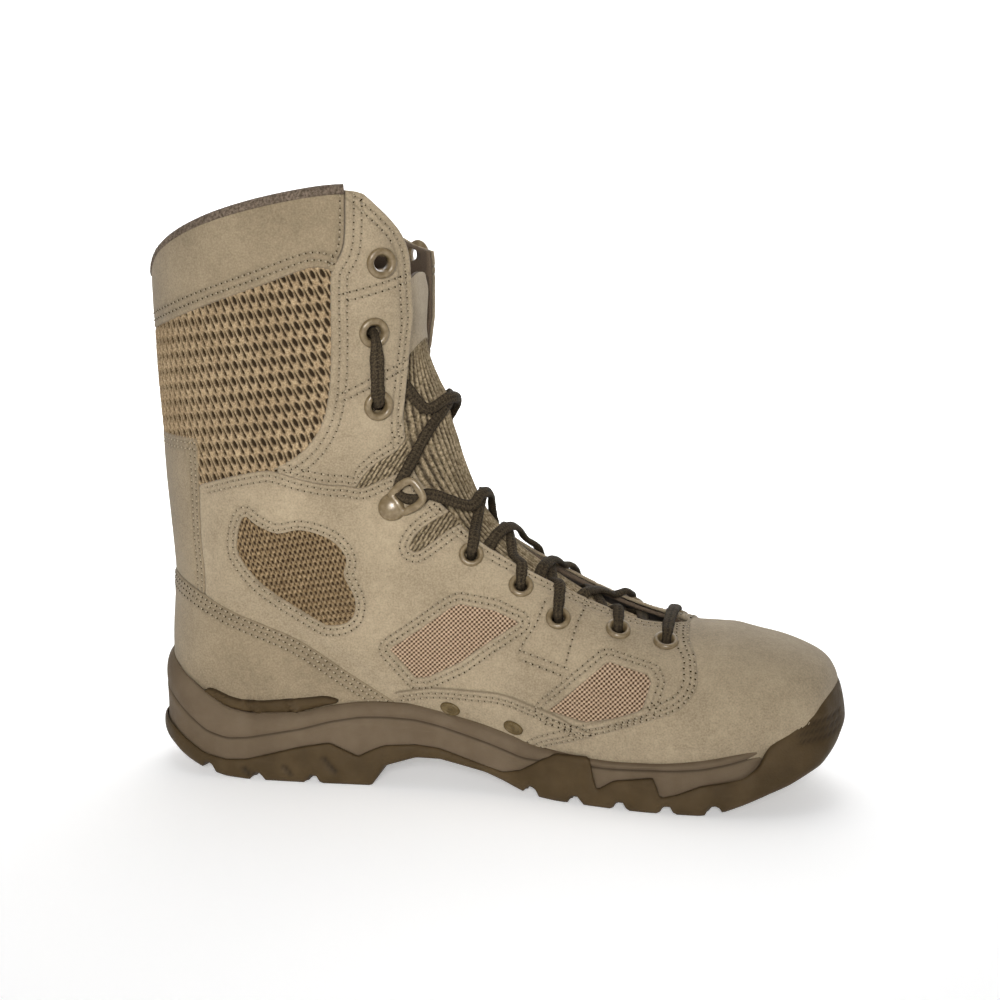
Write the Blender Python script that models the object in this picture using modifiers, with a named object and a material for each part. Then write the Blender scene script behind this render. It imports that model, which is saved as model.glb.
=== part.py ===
"""Left tactical boot, eight-inch class: an upper on a moulded sole, with overlays, tongue, eyelets and lace.

Sizes are in millimetres and are scaled to metres where a mesh is made.
X runs forward to the toe, -Y is the inner (medial) side, Z is up, and the floor is z = 0.
"""

import bmesh
import bpy
import numpy as np
from mathutils import Matrix, Vector

MM = 0.001
OBJECT = "tactical_boot"
MEDIAL, LATERAL = -1, 1
SIDE_NAME = {MEDIAL: "medial", LATERAL: "lateral"}

# Thicknesses and clearances of the upper's layers
WALL = 2.2
CLEARANCE = 0.3
OVERLAY = 1.2
OVERLAY_TOP = CLEARANCE + OVERLAY
LAST_LIFT = OVERLAY_TOP + 2 * CLEARANCE
STABILIZER = 2.2
BED_DROP = 0.9
INSOLE_THICK = 4.0
INSOLE_INSET = 4.2
INSOLE_DROP = 0.2

# Grid of the upper's surface
GIRTH_STEPS = 7
HALF_STEP_SPANS = ((0.0, 3.0), (5.0, 6.0), (12.0, 15.0))
COLLAR_STOP = 18.9
ENVELOPE_STOP = 17.0

# Sections of the last, toe to collar. Each runs from a base line to a ridge line.
SECTION_COLUMNS = ("base_x", "base_y", "base_z", "base_share", "ridge_x", "ridge_y", "ridge_z",
                   "wide_half", "wide_at", "round_top", "gap", "crown")
SECTIONS = {
    "toe_tip":     (149.5, -10.0, 33.0, 0.90, 153.0, -10.0, 48.0, 0.0, 0.40, 2.30, 0.0, 0.00),
    "toe_turn":    (147.0, -9.5, 31.0, 0.90, 151.0, -10.0, 55.5, 16.0, 0.40, 2.30, 0.0, 0.00),
    "toe_corner":  (140.5, -8.0, 27.0, 0.90, 145.0, -10.0, 61.5, 29.0, 0.40, 2.30, 0.0, 0.00),
    "toe_box":     (126.0, -5.0, 21.0, 0.90, 130.0, -9.5, 67.0, 40.0, 0.40, 2.30, 0.0, 0.00),
    "toe_back":    (106.0, -2.5, 16.0, 0.91, 110.0, -8.5, 71.0, 46.8, 0.38, 2.20, 0.0, 0.00),
    "vamp":        (84.0, -0.5, 14.0, 0.92, 88.0, -8.0, 73.5, 49.8, 0.36, 2.10, 12.0, 0.00),
    "ball":        (62.0, 1.0, 13.5, 0.92, 64.0, -7.0, 80.0, 49.2, 0.34, 2.00, 14.0, 0.00),
    "waist":       (36.0, 3.0, 15.0, 0.92, 38.0, -6.0, 92.0, 45.5, 0.33, 1.95, 16.0, 0.00),
    "arch":        (6.0, 4.5, 19.5, 0.91, 14.0, -5.0, 107.0, 40.0, 0.33, 1.95, 18.0, 0.00),
    "shank":       (-28.0, 3.5, 24.0, 0.90, -2.0, -3.5, 122.0, 36.5, 0.33, 2.00, 20.0, 0.00),
    "heel_front":  (-62.0, 2.0, 26.5, 0.90, -12.0, -2.0, 138.0, 35.5, 0.33, 2.05, 21.0, 0.00),
    "heel_mid":    (-98.0, 0.5, 27.0, 0.90, -19.0, -1.0, 153.0, 35.0, 0.33, 2.10, 22.0, 0.00),
    "heel_round":  (-124.0, 0.5, 27.0, 0.77, -23.0, 0.0, 164.0, 36.0, 0.34, 2.15, 22.0, 0.00),
    "heel_turn":   (-142.0, 0.5, 28.5, 0.46, -25.0, 0.0, 173.0, 37.0, 0.36, 2.20, 22.0, 0.00),
    "heel_back":   (-149.0, 0.5, 31.0, 0.00, -26.0, 0.0, 181.0, 38.0, 0.38, 2.20, 22.0, 0.00),
    "counter":     (-150.0, 0.5, 55.0, 0.00, -26.5, 0.0, 191.0, 39.5, 0.42, 2.20, 22.0, 0.00),
    "counter_top": (-148.5, 0.5, 92.0, 0.00, -26.5, 0.0, 204.0, 41.0, 0.45, 2.25, 22.0, 0.10),
    "achilles":    (-151.5, 0.5, 135.0, 0.00, -26.0, 0.0, 219.0, 43.0, 0.48, 2.30, 22.0, 0.35),
    "calf":        (-155.0, 0.5, 184.0, 0.00, -25.5, 0.0, 234.0, 45.0, 0.50, 2.30, 22.0, 0.70),
    "collar":      (-155.5, 0.5, 229.0, 0.00, -26.0, 0.0, 246.0, 46.5, 0.50, 2.30, 22.0, 1.00),
}
TIP_SECTIONS = 0.01
TIP_GIRTH = 0.95
THROAT_START = 5.0
THROAT_ROUND = 0.8
HEEL_BACK = 14.0
GIRTH_SPLIT = 0.5
GIRTH_SPLIT_AT = 0.4

# Rise of the collar line between its back and its front, for each side
CROWN_AT = (0.0, 0.08, 0.25, 0.50, 0.75, 0.86, 1.0)
CROWN_UP = {
    MEDIAL: (0.0, 11.0, 18.5, 23.0, 24.0, 17.0, 0.0),
    LATERAL: (0.0, 10.0, 14.0, 12.5, 3.0, -5.0, -12.0),
}

# Plan outline of the sole: a row at each station along the foot
OUTLINE_COLUMNS = ("x", "medial_y", "lateral_y")
OUTLINE_ROWS = (
    (158.0, -10.0, -10.0),
    (153.0, -31.0, 13.0),
    (145.0, -41.0, 27.0),
    (130.0, -49.0, 40.0),
    (110.0, -54.0, 49.0),
    (85.0, -55.0, 54.0),
    (65.0, -53.0, 55.0),
    (40.0, -47.5, 54.0),
    (10.0, -41.0, 50.5),
    (-20.0, -38.5, 46.5),
    (-50.0, -38.5, 43.5),
    (-80.0, -39.5, 41.5),
    (-110.0, -39.0, 40.0),
    (-135.0, -34.5, 35.5),
    (-150.0, -22.0, 23.0),
    (-158.0, 0.5, 0.5),
)

# Side lines of the sole: heights at each station along the foot
SOLE_COLUMNS = ("x", "rim", "crease", "claw", "tread", "core", "thick", "lean")
SOLE_ROWS = (
    (-158.0, 53.0, 37.0, 22.0, 14.0, 17.0, 1.6, 1.6),
    (-147.0, 48.0, 33.0, 20.0, 11.0, 15.0, 1.6, 1.4),
    (-138.0, 43.0, 27.0, 15.5, 7.0, 11.5, 1.6, 1.0),
    (-128.0, 37.7, 20.8, 10.6, 3.0, 7.6, 1.6, 0.6),
    (-118.0, 32.3, 18.3, 8.8, 0.6, 6.2, 1.6, 0.4),
    (-108.0, 30.5, 19.2, 9.7, 0.0, 6.2, 1.6, 0.4),
    (-82.0, 32.4, 24.7, 17.0, 0.0, 7.5, 1.6, 0.4),
    (-69.0, 36.0, 28.6, 19.4, 0.0, 7.5, 1.6, 0.4),
    (-56.0, 38.1, 31.1, 13.6, 0.0, 8.0, 1.6, 0.4),
    (-50.0, 38.5, 31.5, 16.8, 0.0, 10.0, 1.6, 0.3),
    (-44.0, 38.6, 31.7, 19.2, 9.5, 15.0, 1.6, 0.2),
    (-30.0, 38.3, 31.1, 20.3, 14.0, 17.3, 1.6, 0.2),
    (-19.0, 35.9, 28.9, 19.2, 14.0, 16.6, 1.6, 0.2),
    (2.0, 30.6, 22.9, 12.6, 9.5, 11.2, 1.6, 0.2),
    (10.0, 28.2, 20.3, 10.6, 6.5, 8.4, 1.6, 0.2),
    (18.0, 25.8, 17.6, 12.5, 3.0, 7.0, 1.6, 0.2),
    (26.0, 23.4, 17.2, 17.6, 1.0, 6.2, 1.6, 0.2),
    (34.0, 22.4, 18.2, 22.2, 0.2, 6.0, 1.6, 0.2),
    (49.5, 21.6, 17.6, 22.4, 0.0, 6.0, 1.6, 0.2),
    (52.0, 21.4, 17.4, 7.6, 0.0, 6.0, 1.6, 0.2),
    (60.0, 21.2, 17.6, 13.0, 0.0, 6.0, 1.6, 0.2),
    (78.0, 22.0, 18.8, 16.2, 0.0, 6.0, 1.6, 0.2),
    (80.5, 22.2, 18.8, 7.2, 0.0, 6.0, 1.6, 0.2),
    (88.0, 23.0, 19.2, 9.2, 0.0, 6.0, 1.6, 0.2),
    (98.0, 24.5, 20.2, 13.5, 0.0, 6.2, 1.6, 0.2),
    (108.0, 26.5, 22.4, 15.4, 2.0, 8.0, 1.8, 0.2),
    (116.0, 28.4, 24.4, 17.0, 5.0, 11.0, 2.4, 0.2),
    (123.0, 30.2, 26.4, 22.0, 8.0, 13.5, 3.6, 0.2),
    (127.0, 31.3, 27.6, 30.5, 9.8, 15.0, 4.6, 0.2),
    (135.0, 33.0, 29.6, 36.0, 13.0, 18.0, 6.0, 0.2),
    (148.0, 35.0, 32.4, 46.5, 20.0, 25.0, 6.6, 0.2),
    (153.0, 36.0, 34.0, 50.0, 24.5, 29.0, 6.8, 0.2),
    (156.5, 37.5, 35.0, 52.0, 28.5, 31.5, 6.8, 0.2),
    (158.0, 39.0, 36.4, 53.0, 32.0, 34.0, 6.8, 0.2),
)
TREAD_INSET = 10.0
BUMPER_START = 122.0
BUMPER_LEAN = 3.2
CORE_GAP = 1.0
TREAD_BEVEL = 2.2
CREASE_DEPTH = 1.1
CREASE_HALF = 1.1

# Grooves between the lugs: station, angle of the groove on the medial side
GROOVE_WIDE = 4.2
GROOVE_DEEP = 3.4
GROOVE_SPINE = 4.0
GROOVE_REACH = 66.0
GROOVE_STATIONS = (-120.0, -96.0, -70.0, 31.0, 52.0, 73.0, 94.0, 114.0)
GROOVE_SWEEP_DEG = 12.0
RIB_STATIONS = ((-107.5, 4.0, 5.6), (-88.2, 5.6, 6.6), (-69.0, 9.4, 9.6))
RIB_WIDE = 2.2
RIB_DEEP = 0.9
RIB_TILT_DEG = 50.0
BUMPER_RIB_ANGLES_DEG = (-44.0, -28.0, -12.0, 4.0, 20.0)
BUMPER_RIB_RADIUS = 40.0
BUMPER_RIB_CENTRE = (118.0, -9.0)
BUMPER_RIB_SIZE = (9.0, 2.2, 10.0)
BUMPER_RIB_Z = 41.0

# Side-view outlines of the overlays, as (x, z)
VAMP_SEAM = ((22.0, 16.0), (29.0, 23.0), (54.0, 32.5), (72.0, 39.2), (88.5, 46.0), (95.5, 55.0),
             (94.5, 65.0), (90.0, 72.0), (86.0, 90.0))
COUNTER_SEAM = ((-170.0, 92.0), (-149.0, 91.0), (-130.0, 85.5), (-105.0, 75.0), (-82.0, 65.5),
                (-60.0, 51.5), (-37.5, 37.0), (-26.0, 24.0))
QUARTER_TOP = ((60.0, 100.0), (0.0, 140.0), (-20.0, 148.0), (-32.0, 138.4), (-42.0, 132.8), (-54.0, 131.2),
               (-57.5, 134.2), (-66.0, 137.5), (-80.0, 140.0), (-100.0, 139.5), (-124.5, 133.0))
BACKSTAY_EDGE = ((-127.8, 134.0), (-127.8, 113.0), (-126.2, 94.0), (-126.5, 84.0))
BACKSTAY_TOP = 155.0
FACING_SEAM = ((-57.5, 275.0), (-57.7, 264.0), (-59.2, 243.0), (-60.0, 217.5), (-60.8, 196.0), (-63.0, 174.0),
               (-66.3, 161.0), (-71.8, 150.0), (-74.0, 143.0))
FACING_FOOT = ((-57.5, 138.2), (-50.0, 139.4), (-40.4, 143.2), (-32.5, 145.6), (-10.0, 152.0))
CUFF_SEAM = ((-170.0, 195.5), (-157.0, 200.3), (-123.4, 213.0), (-94.2, 223.3), (-80.0, 228.6),
             (-72.2, 231.1), (-66.5, 230.6), (-61.5, 228.5))
SEAM_GAP = 0.35
WINDOWS = {
    "ankle": ((-106.0, 121.0), (-100.0, 117.6), (-91.0, 114.0), (-81.0, 115.6), (-68.0, 111.0), (-61.3, 102.8),
              (-62.4, 95.5), (-57.2, 84.5), (-59.2, 75.6), (-68.5, 73.0), (-77.5, 77.3), (-95.0, 88.3),
              (-105.7, 99.5), (-109.2, 108.7)),
    "weave_rear": ((-41.3, 62.4), (-30.0, 73.0), (-18.8, 81.0), (-3.0, 84.6), (19.5, 77.0), (11.4, 68.0),
                   (0.0, 58.6), (-25.4, 49.7), (-33.2, 54.8)),
    "weave_front": ((32.1, 42.4), (45.4, 54.2), (55.8, 62.9), (75.4, 59.8), (75.3, 47.8), (67.6, 43.4),
                    (49.8, 39.3)),
    "notch_low": ((-5.0, 124.0), (-14.0, 120.0), (-24.6, 115.9), (-33.8, 109.6), (-32.4, 105.6), (-26.0, 106.8),
                  (-13.5, 113.8), (-2.0, 119.0)),
}
STABILIZER_OUTLINE = ((-128.2, 39.4), (-121.4, 35.8), (-116.8, 33.6), (-109.3, 32.2), (-102.1, 31.9), (-94.3, 32.3),
                      (-83.5, 33.6), (-72.9, 36.5), (-65.8, 38.0), (-66.6, 39.3), (-72.1, 40.3), (-79.9, 39.0),
                      (-88.4, 37.8), (-99.2, 36.2), (-104.9, 36.2), (-110.7, 36.2), (-116.7, 37.6), (-121.2, 39.4),
                      (-125.1, 40.2), (-127.6, 39.8))
PRISM_HALF = 80.0

# Eyelets on each flap: side-view position and size
EYELET_COLUMNS = ("x", "z", "flange", "bore")
EYELETS = {
    "a": (-44.2, 233.0, 6.6, 3.2),
    "b": (-47.8, 203.0, 6.6, 3.2),
    "c": (-47.2, 171.0, 6.6, 3.2),
    "d": (-6.4, 105.0, 5.6, 2.9),
    "e": (16.1, 92.0, 5.6, 2.9),
    "f": (33.6, 79.5, 5.6, 2.9),
    "g": (59.4, 74.5, 5.6, 2.9),
    "h": (80.3, 70.0, 5.6, 2.9),
}
EYELET_SIDES = 8
HOLE_SIDES = 8
EYELET_WALL = 1.0
EYELET_CROWN = 1.5
EYELET_FOOT = -2.4
HOOK = (-38.0, 128.0)
HOOK_PLATE = (7.0, 4.4, 1.3)
HOOK_RISE = 7.0
HOOK_ROD = 1.5
VENTS = ((-13.9, 37.7), (15.4, 31.7))
VENT_HALF = (4.2, 2.4)
VENT_RISE = 1.4
VENT_SEAT = 0.7

# Tongue
TONGUE_START = 4.7
TONGUE_STOP = 17.5
TONGUE_MARGIN = 11.0
TONGUE_GAP = 1.6
TONGUE_THICK = 3.0
TONGUE_BULGE_AT = (4.7, 5.6, 7.0, 9.0, 11.0, 13.0, 15.0, 16.0, 17.5)
TONGUE_BULGE = (0.0, 0.4, 1.6, 4.0, 6.5, 7.5, 5.0, 2.5, 0.0)
TONGUE_SINK_AT = (4.7, 6.4, 7.6)
TONGUE_SINK = (1.8, 1.4, 0.0)
TONGUE_STATIONS = 15
TONGUE_ACROSS = 8

# Lace
LACE_HALF = 2.4
LACE_SIDES = 6
LACE_LIFT = 6.2
LACE_SEAT = 4.4
LACE_OVER_TONGUE = 4.0
LACE_ARCH = 1.5
LACE_EDGE = 2.2
BINDING_RADIUS = 2.2
BINDING_GAP = 0.9

COLOURS = {
    "suede": (0.42, 0.34, 0.24),
    "mesh_fabric": (0.30, 0.24, 0.15),
    "lining": (0.16, 0.12, 0.09),
    "binding": (0.20, 0.16, 0.12),
    "midsole": (0.25, 0.20, 0.14),
    "outsole": (0.16, 0.11, 0.07),
    "hardware": (0.33, 0.24, 0.14),
    "lace": (0.05, 0.04, 0.03),
    "insole": (0.10, 0.08, 0.06),
}

SECTION_TABLE = np.array(list(SECTIONS.values()), float)
LAST_SECTION = float(len(SECTION_TABLE) - 1)


def clear_scene():
    """Removes the startup objects."""
    for obj in list(bpy.data.objects):
        bpy.data.objects.remove(obj, do_unlink=True)


def collection_named(name, hidden):
    """A new collection in the scene; the one of cutters is hidden."""
    group = bpy.data.collections.new(name)
    bpy.context.scene.collection.children.link(group)
    group.hide_render = hidden
    return group


def material_named(name):
    """The Principled material of one finish."""
    found = bpy.data.materials.get(name)
    if found:
        return found
    made = bpy.data.materials.new(name)
    made.use_nodes = True
    shader = made.node_tree.nodes["Principled BSDF"]
    shader.inputs["Base Color"].default_value = (*COLOURS[name], 1.0)
    shader.inputs["Roughness"].default_value = 0.7
    return made


def object_from(bm, name, group, finish=None):
    """An object from a bmesh in millimetres, placed in a collection."""
    bmesh.ops.scale(bm, vec=(MM, MM, MM), verts=bm.verts)
    bmesh.ops.remove_doubles(bm, verts=bm.verts, dist=0.02 * MM)
    bmesh.ops.dissolve_degenerate(bm, edges=bm.edges, dist=0.005 * MM)
    mesh = bpy.data.meshes.new(name)
    bm.to_mesh(mesh)
    bm.free()
    obj = bpy.data.objects.new(name, mesh)
    group.objects.link(obj)
    if finish:
        mesh.materials.append(material_named(finish))
    if group.hide_render:
        obj.hide_render = True
        obj.display_type = "WIRE"
    return obj


def face_outward(bm):
    """Turns the faces of closed bodies outward."""
    bmesh.ops.recalc_face_normals(bm, faces=bm.faces)
    if bm.calc_volume(signed=True) < 0:
        bmesh.ops.reverse_faces(bm, faces=bm.faces)


def boolean(obj, other, operation):
    """One exact Boolean modifier."""
    modifier = obj.modifiers.new(operation.lower(), "BOOLEAN")
    modifier.operation = operation
    modifier.solver = "EXACT"
    modifier.object = other
    return modifier


def solidify(obj, thickness, offset):
    """Thickness for an open surface, outward at offset 1 and inward at -1."""
    modifier = obj.modifiers.new("wall", "SOLIDIFY")
    modifier.thickness = thickness * MM
    modifier.offset = offset
    return modifier


# The surface of the last


def along(column, section):
    """A column of the section table as a smooth curve over the sections, toe to collar."""
    values = SECTION_TABLE[:, SECTION_COLUMNS.index(column)]
    before = -values[1] if column == "wide_half" else values[1]
    values = np.concatenate([[before], values, [2 * values[-1] - values[-2]]])
    section = np.clip(np.asarray(section, float), 0, LAST_SECTION)
    i = np.clip(np.floor(section).astype(int), 0, len(SECTION_TABLE) - 2)
    f = section - i
    a, b, c, d = values[i], values[i + 1], values[i + 2], values[i + 3]
    return 0.5 * (2 * b + (c - a) * f + (2 * a - 5 * b + 4 * c - d) * f**2 + (3 * b - a - 3 * c + d) * f**3)


def girth_split(section):
    """The girth number at the widest place of a section."""
    return GIRTH_SPLIT * np.clip(along("wide_at", section) / GIRTH_SPLIT_AT, 0.6, 1.1)


def throat_half(section):
    """Half of the throat opening, which starts round above the vamp."""
    start = np.sqrt(np.clip((section - THROAT_START) / THROAT_ROUND, 0, 1))
    return np.maximum(along("gap", section), 0) * start


def girth_at_half(section, half):
    """The girth number on the top arc where the section is this far from its middle."""
    wide = np.maximum(along("wide_half", section), 1e-6)
    split = girth_split(section)
    turn = np.arccos(np.clip(half / wide, 0, 1) ** (along("round_top", section) / 2))
    return split + (1 - split) * turn / (np.pi / 2)


def bare_surface(section, girth, side, crowned=True):
    """Points of the last: girth 0 is the base line, 1 is the ridge. The crown is the collar's rise."""
    split = girth_split(section)
    share = np.clip(along("base_share", section), 0, 0.97)
    at = along("wide_at", section)
    power = 2 / along("round_top", section)
    start = np.arcsin(share)
    low = start + (np.pi / 2 - start) * np.clip(girth / split, 0, 1)
    high = np.clip((girth - split) / (1 - split), 0, 1) * np.pi / 2
    below = girth < split
    rise_low = at * (np.cos(start) - np.cos(low)) / np.cos(start)
    rise = np.where(below, rise_low, at + (1 - at) * np.sin(high) ** power)
    half = np.where(below, np.sin(low), np.cos(high) ** power) * along("wide_half", section)
    axes = []
    for axis in "xyz":
        base = along("base_" + axis, section)
        axes.append(base + (along("ridge_" + axis, section) - base) * rise)
    axes[1] = axes[1] + side * half
    if crowned:
        axes[2] = axes[2] + np.clip(along("crown", section), 0, 2) * np.interp(rise, CROWN_AT, CROWN_UP[side])
    return np.stack(axes, -1)


def surface(section, girth, side, lift=0.0, crowned=True):
    """Points of the last moved out along its normals."""
    section, girth = np.broadcast_arrays(np.asarray(section, float), np.asarray(girth, float))
    points = bare_surface(section, girth, side, crowned)
    step = 2e-3
    inner = np.where(section < TIP_SECTIONS, np.minimum(girth, TIP_GIRTH), girth)
    forward = bare_surface(np.minimum(section + step, LAST_SECTION), inner, side, crowned)
    back = bare_surface(np.maximum(section - step, 0), inner, side, crowned)
    over = bare_surface(section, np.minimum(inner + step, 1), side, crowned)
    under = bare_surface(section, np.maximum(inner - step, 0), side, crowned)
    normal = np.cross(forward - back, over - under) * side
    normal /= np.maximum(np.linalg.norm(normal, axis=-1, keepdims=True), 1e-12)
    return points + normal * np.asarray(lift)[..., None]


def nearest_on_side(x, z, side):
    """Section and girth of the place on one side that has this side-view position."""
    sections, girths = np.meshgrid(np.linspace(3, LAST_SECTION, 641), np.linspace(0, 1, 241), indexing="ij")
    points = bare_surface(sections, girths, side)
    away = np.hypot(points[..., 0] - x, points[..., 2] - z)
    away = away + np.where(girths > girth_at_half(sections, throat_half(sections)), 50.0, 0.0)
    row, column = np.unravel_index(np.argmin(away), away.shape)
    return sections[row, column], girths[row, column]


def frame_at(x, z, side, lift=0.0):
    """A matrix whose Z is the outward normal and whose X lies forward along the boot, in millimetres."""
    section, girth = nearest_on_side(x, z, side)
    foot = surface(section, girth, side, lift)
    normal = Vector(surface(section, girth, side, 1.0) - surface(section, girth, side, 0.0)).normalized()
    forward = Vector((1.0, 0.0, 0.0))
    forward = (forward - normal * forward.dot(normal)).normalized()
    across = normal.cross(forward)
    matrix = Matrix((forward, across, normal)).transposed().to_4x4()
    matrix.translation = Vector(foot)
    return matrix


def section_stations(stop):
    """Section numbers of the grid, toe tip to the stop, with half steps where the form turns."""
    whole = list(np.arange(0, np.floor(stop) + 1))
    halves = [s + 0.5 for s in whole for low, high in HALF_STEP_SPANS if low <= s < high]
    ends = [stop] if stop > whole[-1] else []
    return np.array(sorted(whole + halves) + ends)


def grid_faces(bm, points, flip):
    """Triangles over a grid of points."""
    verts = [[bm.verts.new(point) for point in row] for row in points]
    for i in range(len(verts) - 1):
        for j in range(len(verts[0]) - 1):
            a, b, c, d = verts[i][j], verts[i + 1][j], verts[i + 1][j + 1], verts[i][j + 1]
            for face in ((a, b, d), (b, c, d)):
                bm.faces.new(face[::-1] if flip else face)
    return verts


def side_grid(side, stop, lift, closed=False):
    """The grid of one side of the last, base line to throat edge, or on to the ridge when closed."""
    stations = section_stations(stop)
    edge = girth_at_half(stations, throat_half(stations))
    girths = edge[:, None] * np.linspace(0, 1, GIRTH_STEPS + 1)[None, :]
    if closed:
        girths = np.concatenate([girths, np.ones((len(stations), 1))], axis=1)
    return surface(stations[:, None], girths, side, lift, not closed)


def upper_sheet(name, group, lift, finish):
    """The open surface of the upper: both sides, closed at the toe, the back and the vamp ridge."""
    bm = bmesh.new()
    for side in (MEDIAL, LATERAL):
        grid_faces(bm, side_grid(side, COLLAR_STOP, lift), side == MEDIAL)
    return object_from(bm, name, group, finish)


def last_solid(name, group, lift):
    """The closed form of the foot that the sole is hollowed with."""
    bm = bmesh.new()
    rows = {}
    for side in (MEDIAL, LATERAL):
        points = side_grid(side, ENVELOPE_STOP, lift, True)
        stations = section_stations(ENVELOPE_STOP)
        foot = stations <= HEEL_BACK
        points[foot, 0, 2] = along("base_z", stations[foot]) - BED_DROP
        rows[side] = grid_faces(bm, points, side == MEDIAL)
    below = [(rows[MEDIAL][i][0], rows[LATERAL][i][0]) for i in np.flatnonzero(foot)]
    for (a, b), (c, d) in zip(below, below[1:]):
        bm.faces.new((a, c, d))
        bm.faces.new((a, d, b))
    lid = [vert for vert in rows[MEDIAL][-1]] + [vert for vert in rows[LATERAL][-1][::-1]]
    bm.faces.new(lid)
    bmesh.ops.remove_doubles(bm, verts=bm.verts, dist=0.06)
    face_outward(bm)
    return object_from(bm, name, group)


# Flat outlines and cutters


def smooth_loop(points, steps=3):
    """A closed smooth curve through a short list of points."""
    points = np.array(points, float)
    a, b, c, d = (np.roll(points, shift, axis=0)[:, None, :] for shift in (1, 0, -1, -2))
    f = (np.arange(steps) / steps)[None, :, None]
    curve = 0.5 * (2 * b + (c - a) * f + (2 * a - 5 * b + 4 * c - d) * f**2 + (3 * b - a - 3 * c + d) * f**3)
    return curve.reshape(-1, 2)


def prism_into(bm, outline, from_y, to_y):
    """A closed prism along Y over a side-view outline."""
    bottom = [bm.verts.new((x, from_y, z)) for x, z in outline]
    face = bm.faces.new(bottom)
    made = bmesh.ops.extrude_face_region(bm, geom=[face])
    moved = [item for item in made["geom"] if isinstance(item, bmesh.types.BMVert)]
    bmesh.ops.translate(bm, vec=(0, to_y - from_y, 0), verts=moved)


def side_span(side):
    """The span in Y of a prism that takes one side, or both for None."""
    if side is None:
        return -PRISM_HALF, PRISM_HALF
    return (-PRISM_HALF, -0.5) if side == MEDIAL else (0.5, PRISM_HALF)


def prism(name, group, outline, side):
    """A cutter over a side-view outline."""
    bm = bmesh.new()
    prism_into(bm, outline, *side_span(side))
    face_outward(bm)
    return object_from(bm, name, group)


def shifted(line, dx, dz):
    """A side-view line moved as a whole."""
    return [(x + dx, z + dz) for x, z in line]


def cylinder_into(bm, matrix, radius, low, high, sides):
    """A closed cylinder along the matrix's Z."""
    made = bmesh.ops.create_cone(bm, cap_ends=True, segments=sides, radius1=radius, radius2=radius,
                                 depth=high - low)
    bmesh.ops.translate(bm, vec=(0, 0, (high + low) / 2), verts=made["verts"])
    bmesh.ops.transform(bm, matrix=matrix, verts=made["verts"])


def box_into(bm, matrix, size):
    """A closed box of a full size, placed by a matrix."""
    made = bmesh.ops.create_cube(bm, size=1.0)
    bmesh.ops.scale(bm, vec=size, verts=made["verts"])
    bmesh.ops.transform(bm, matrix=matrix, verts=made["verts"])


# Upper and overlays


def eyelet_cutter(name, group, side):
    """The holes for one side's eyelets."""
    bm = bmesh.new()
    for x, z, flange, bore in EYELETS.values():
        radius = (bore + EYELET_WALL + CLEARANCE) / np.cos(np.pi / HOLE_SIDES)
        cylinder_into(bm, frame_at(x, z, side), radius, -WALL - 3.0, OVERLAY_TOP + 3.0, HOLE_SIDES)
    face_outward(bm)
    return object_from(bm, name, group)


def overlay(name, parts, cutters, outline, side, cuts, lift=CLEARANCE, thick=OVERLAY, finish="suede"):
    """One overlay: the upper's surface made thick, kept inside an outline and cut by others."""
    obj = upper_sheet(name, parts, lift, finish)
    solidify(obj, thick, 1.0)
    boolean(obj, prism(name + "_outline", cutters, outline, side), "INTERSECT")
    for cutter in cuts:
        boolean(obj, cutter, "DIFFERENCE")
    return obj


def build_upper(parts, cutters):
    """The hollow upper and the overlays stitched on it."""
    holes = {side: eyelet_cutter("eyelet_holes_" + SIDE_NAME[side], cutters, side) for side in SIDE_NAME}
    upper = upper_sheet("upper", parts, 0.0, "mesh_fabric")
    solidify(upper, WALL, -1.0)
    for side in SIDE_NAME:
        boolean(upper, holes[side], "DIFFERENCE")

    toe = list(VAMP_SEAM) + [(175.0, 90.0), (175.0, 0.0)]
    overlay("vamp", parts, cutters, shifted(toe, SEAM_GAP, 0.0), None, [])
    heel = list(COUNTER_SEAM) + [(-30.0, 0.0), (-170.0, 0.0)]
    overlay("heel_counter", parts, cutters, shifted(heel, 0.0, -SEAM_GAP), None, [])
    stay = list(BACKSTAY_EDGE[::-1]) + [(-127.8, BACKSTAY_TOP), (-170.0, BACKSTAY_TOP)] + list(COUNTER_SEAM[:3])
    overlay("backstay", parts, cutters, shifted(stay, -SEAM_GAP, SEAM_GAP), None, [])
    cuff = list(CUFF_SEAM) + list(FACING_SEAM[2::-1]) + [(-170.0, 275.0)]
    overlay("cuff", parts, cutters, shifted(cuff, -SEAM_GAP, 0.0), None, [])
    for side, word in SIDE_NAME.items():
        windows = bmesh.new()
        for outline in WINDOWS.values():
            prism_into(windows, outline, *side_span(side))
        face_outward(windows)
        window_cutter = object_from(windows, "windows_" + word, cutters)
        quarter = list(VAMP_SEAM) + list(QUARTER_TOP) + list(BACKSTAY_EDGE) + list(COUNTER_SEAM[3:])
        quarter = shifted(quarter, 0.0, SEAM_GAP)
        overlay("quarter_" + word, parts, cutters, quarter, side, [window_cutter, holes[side]])
        facing = list(FACING_SEAM) + list(FACING_FOOT) + [(0.0, 275.0)]
        overlay("facing_" + word, parts, cutters, shifted(facing, SEAM_GAP, 0.0), side, [holes[side]])
        overlay("heel_stabilizer_" + word, parts, cutters, STABILIZER_OUTLINE, side, [],
                LAST_LIFT, STABILIZER, "outsole")


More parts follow.
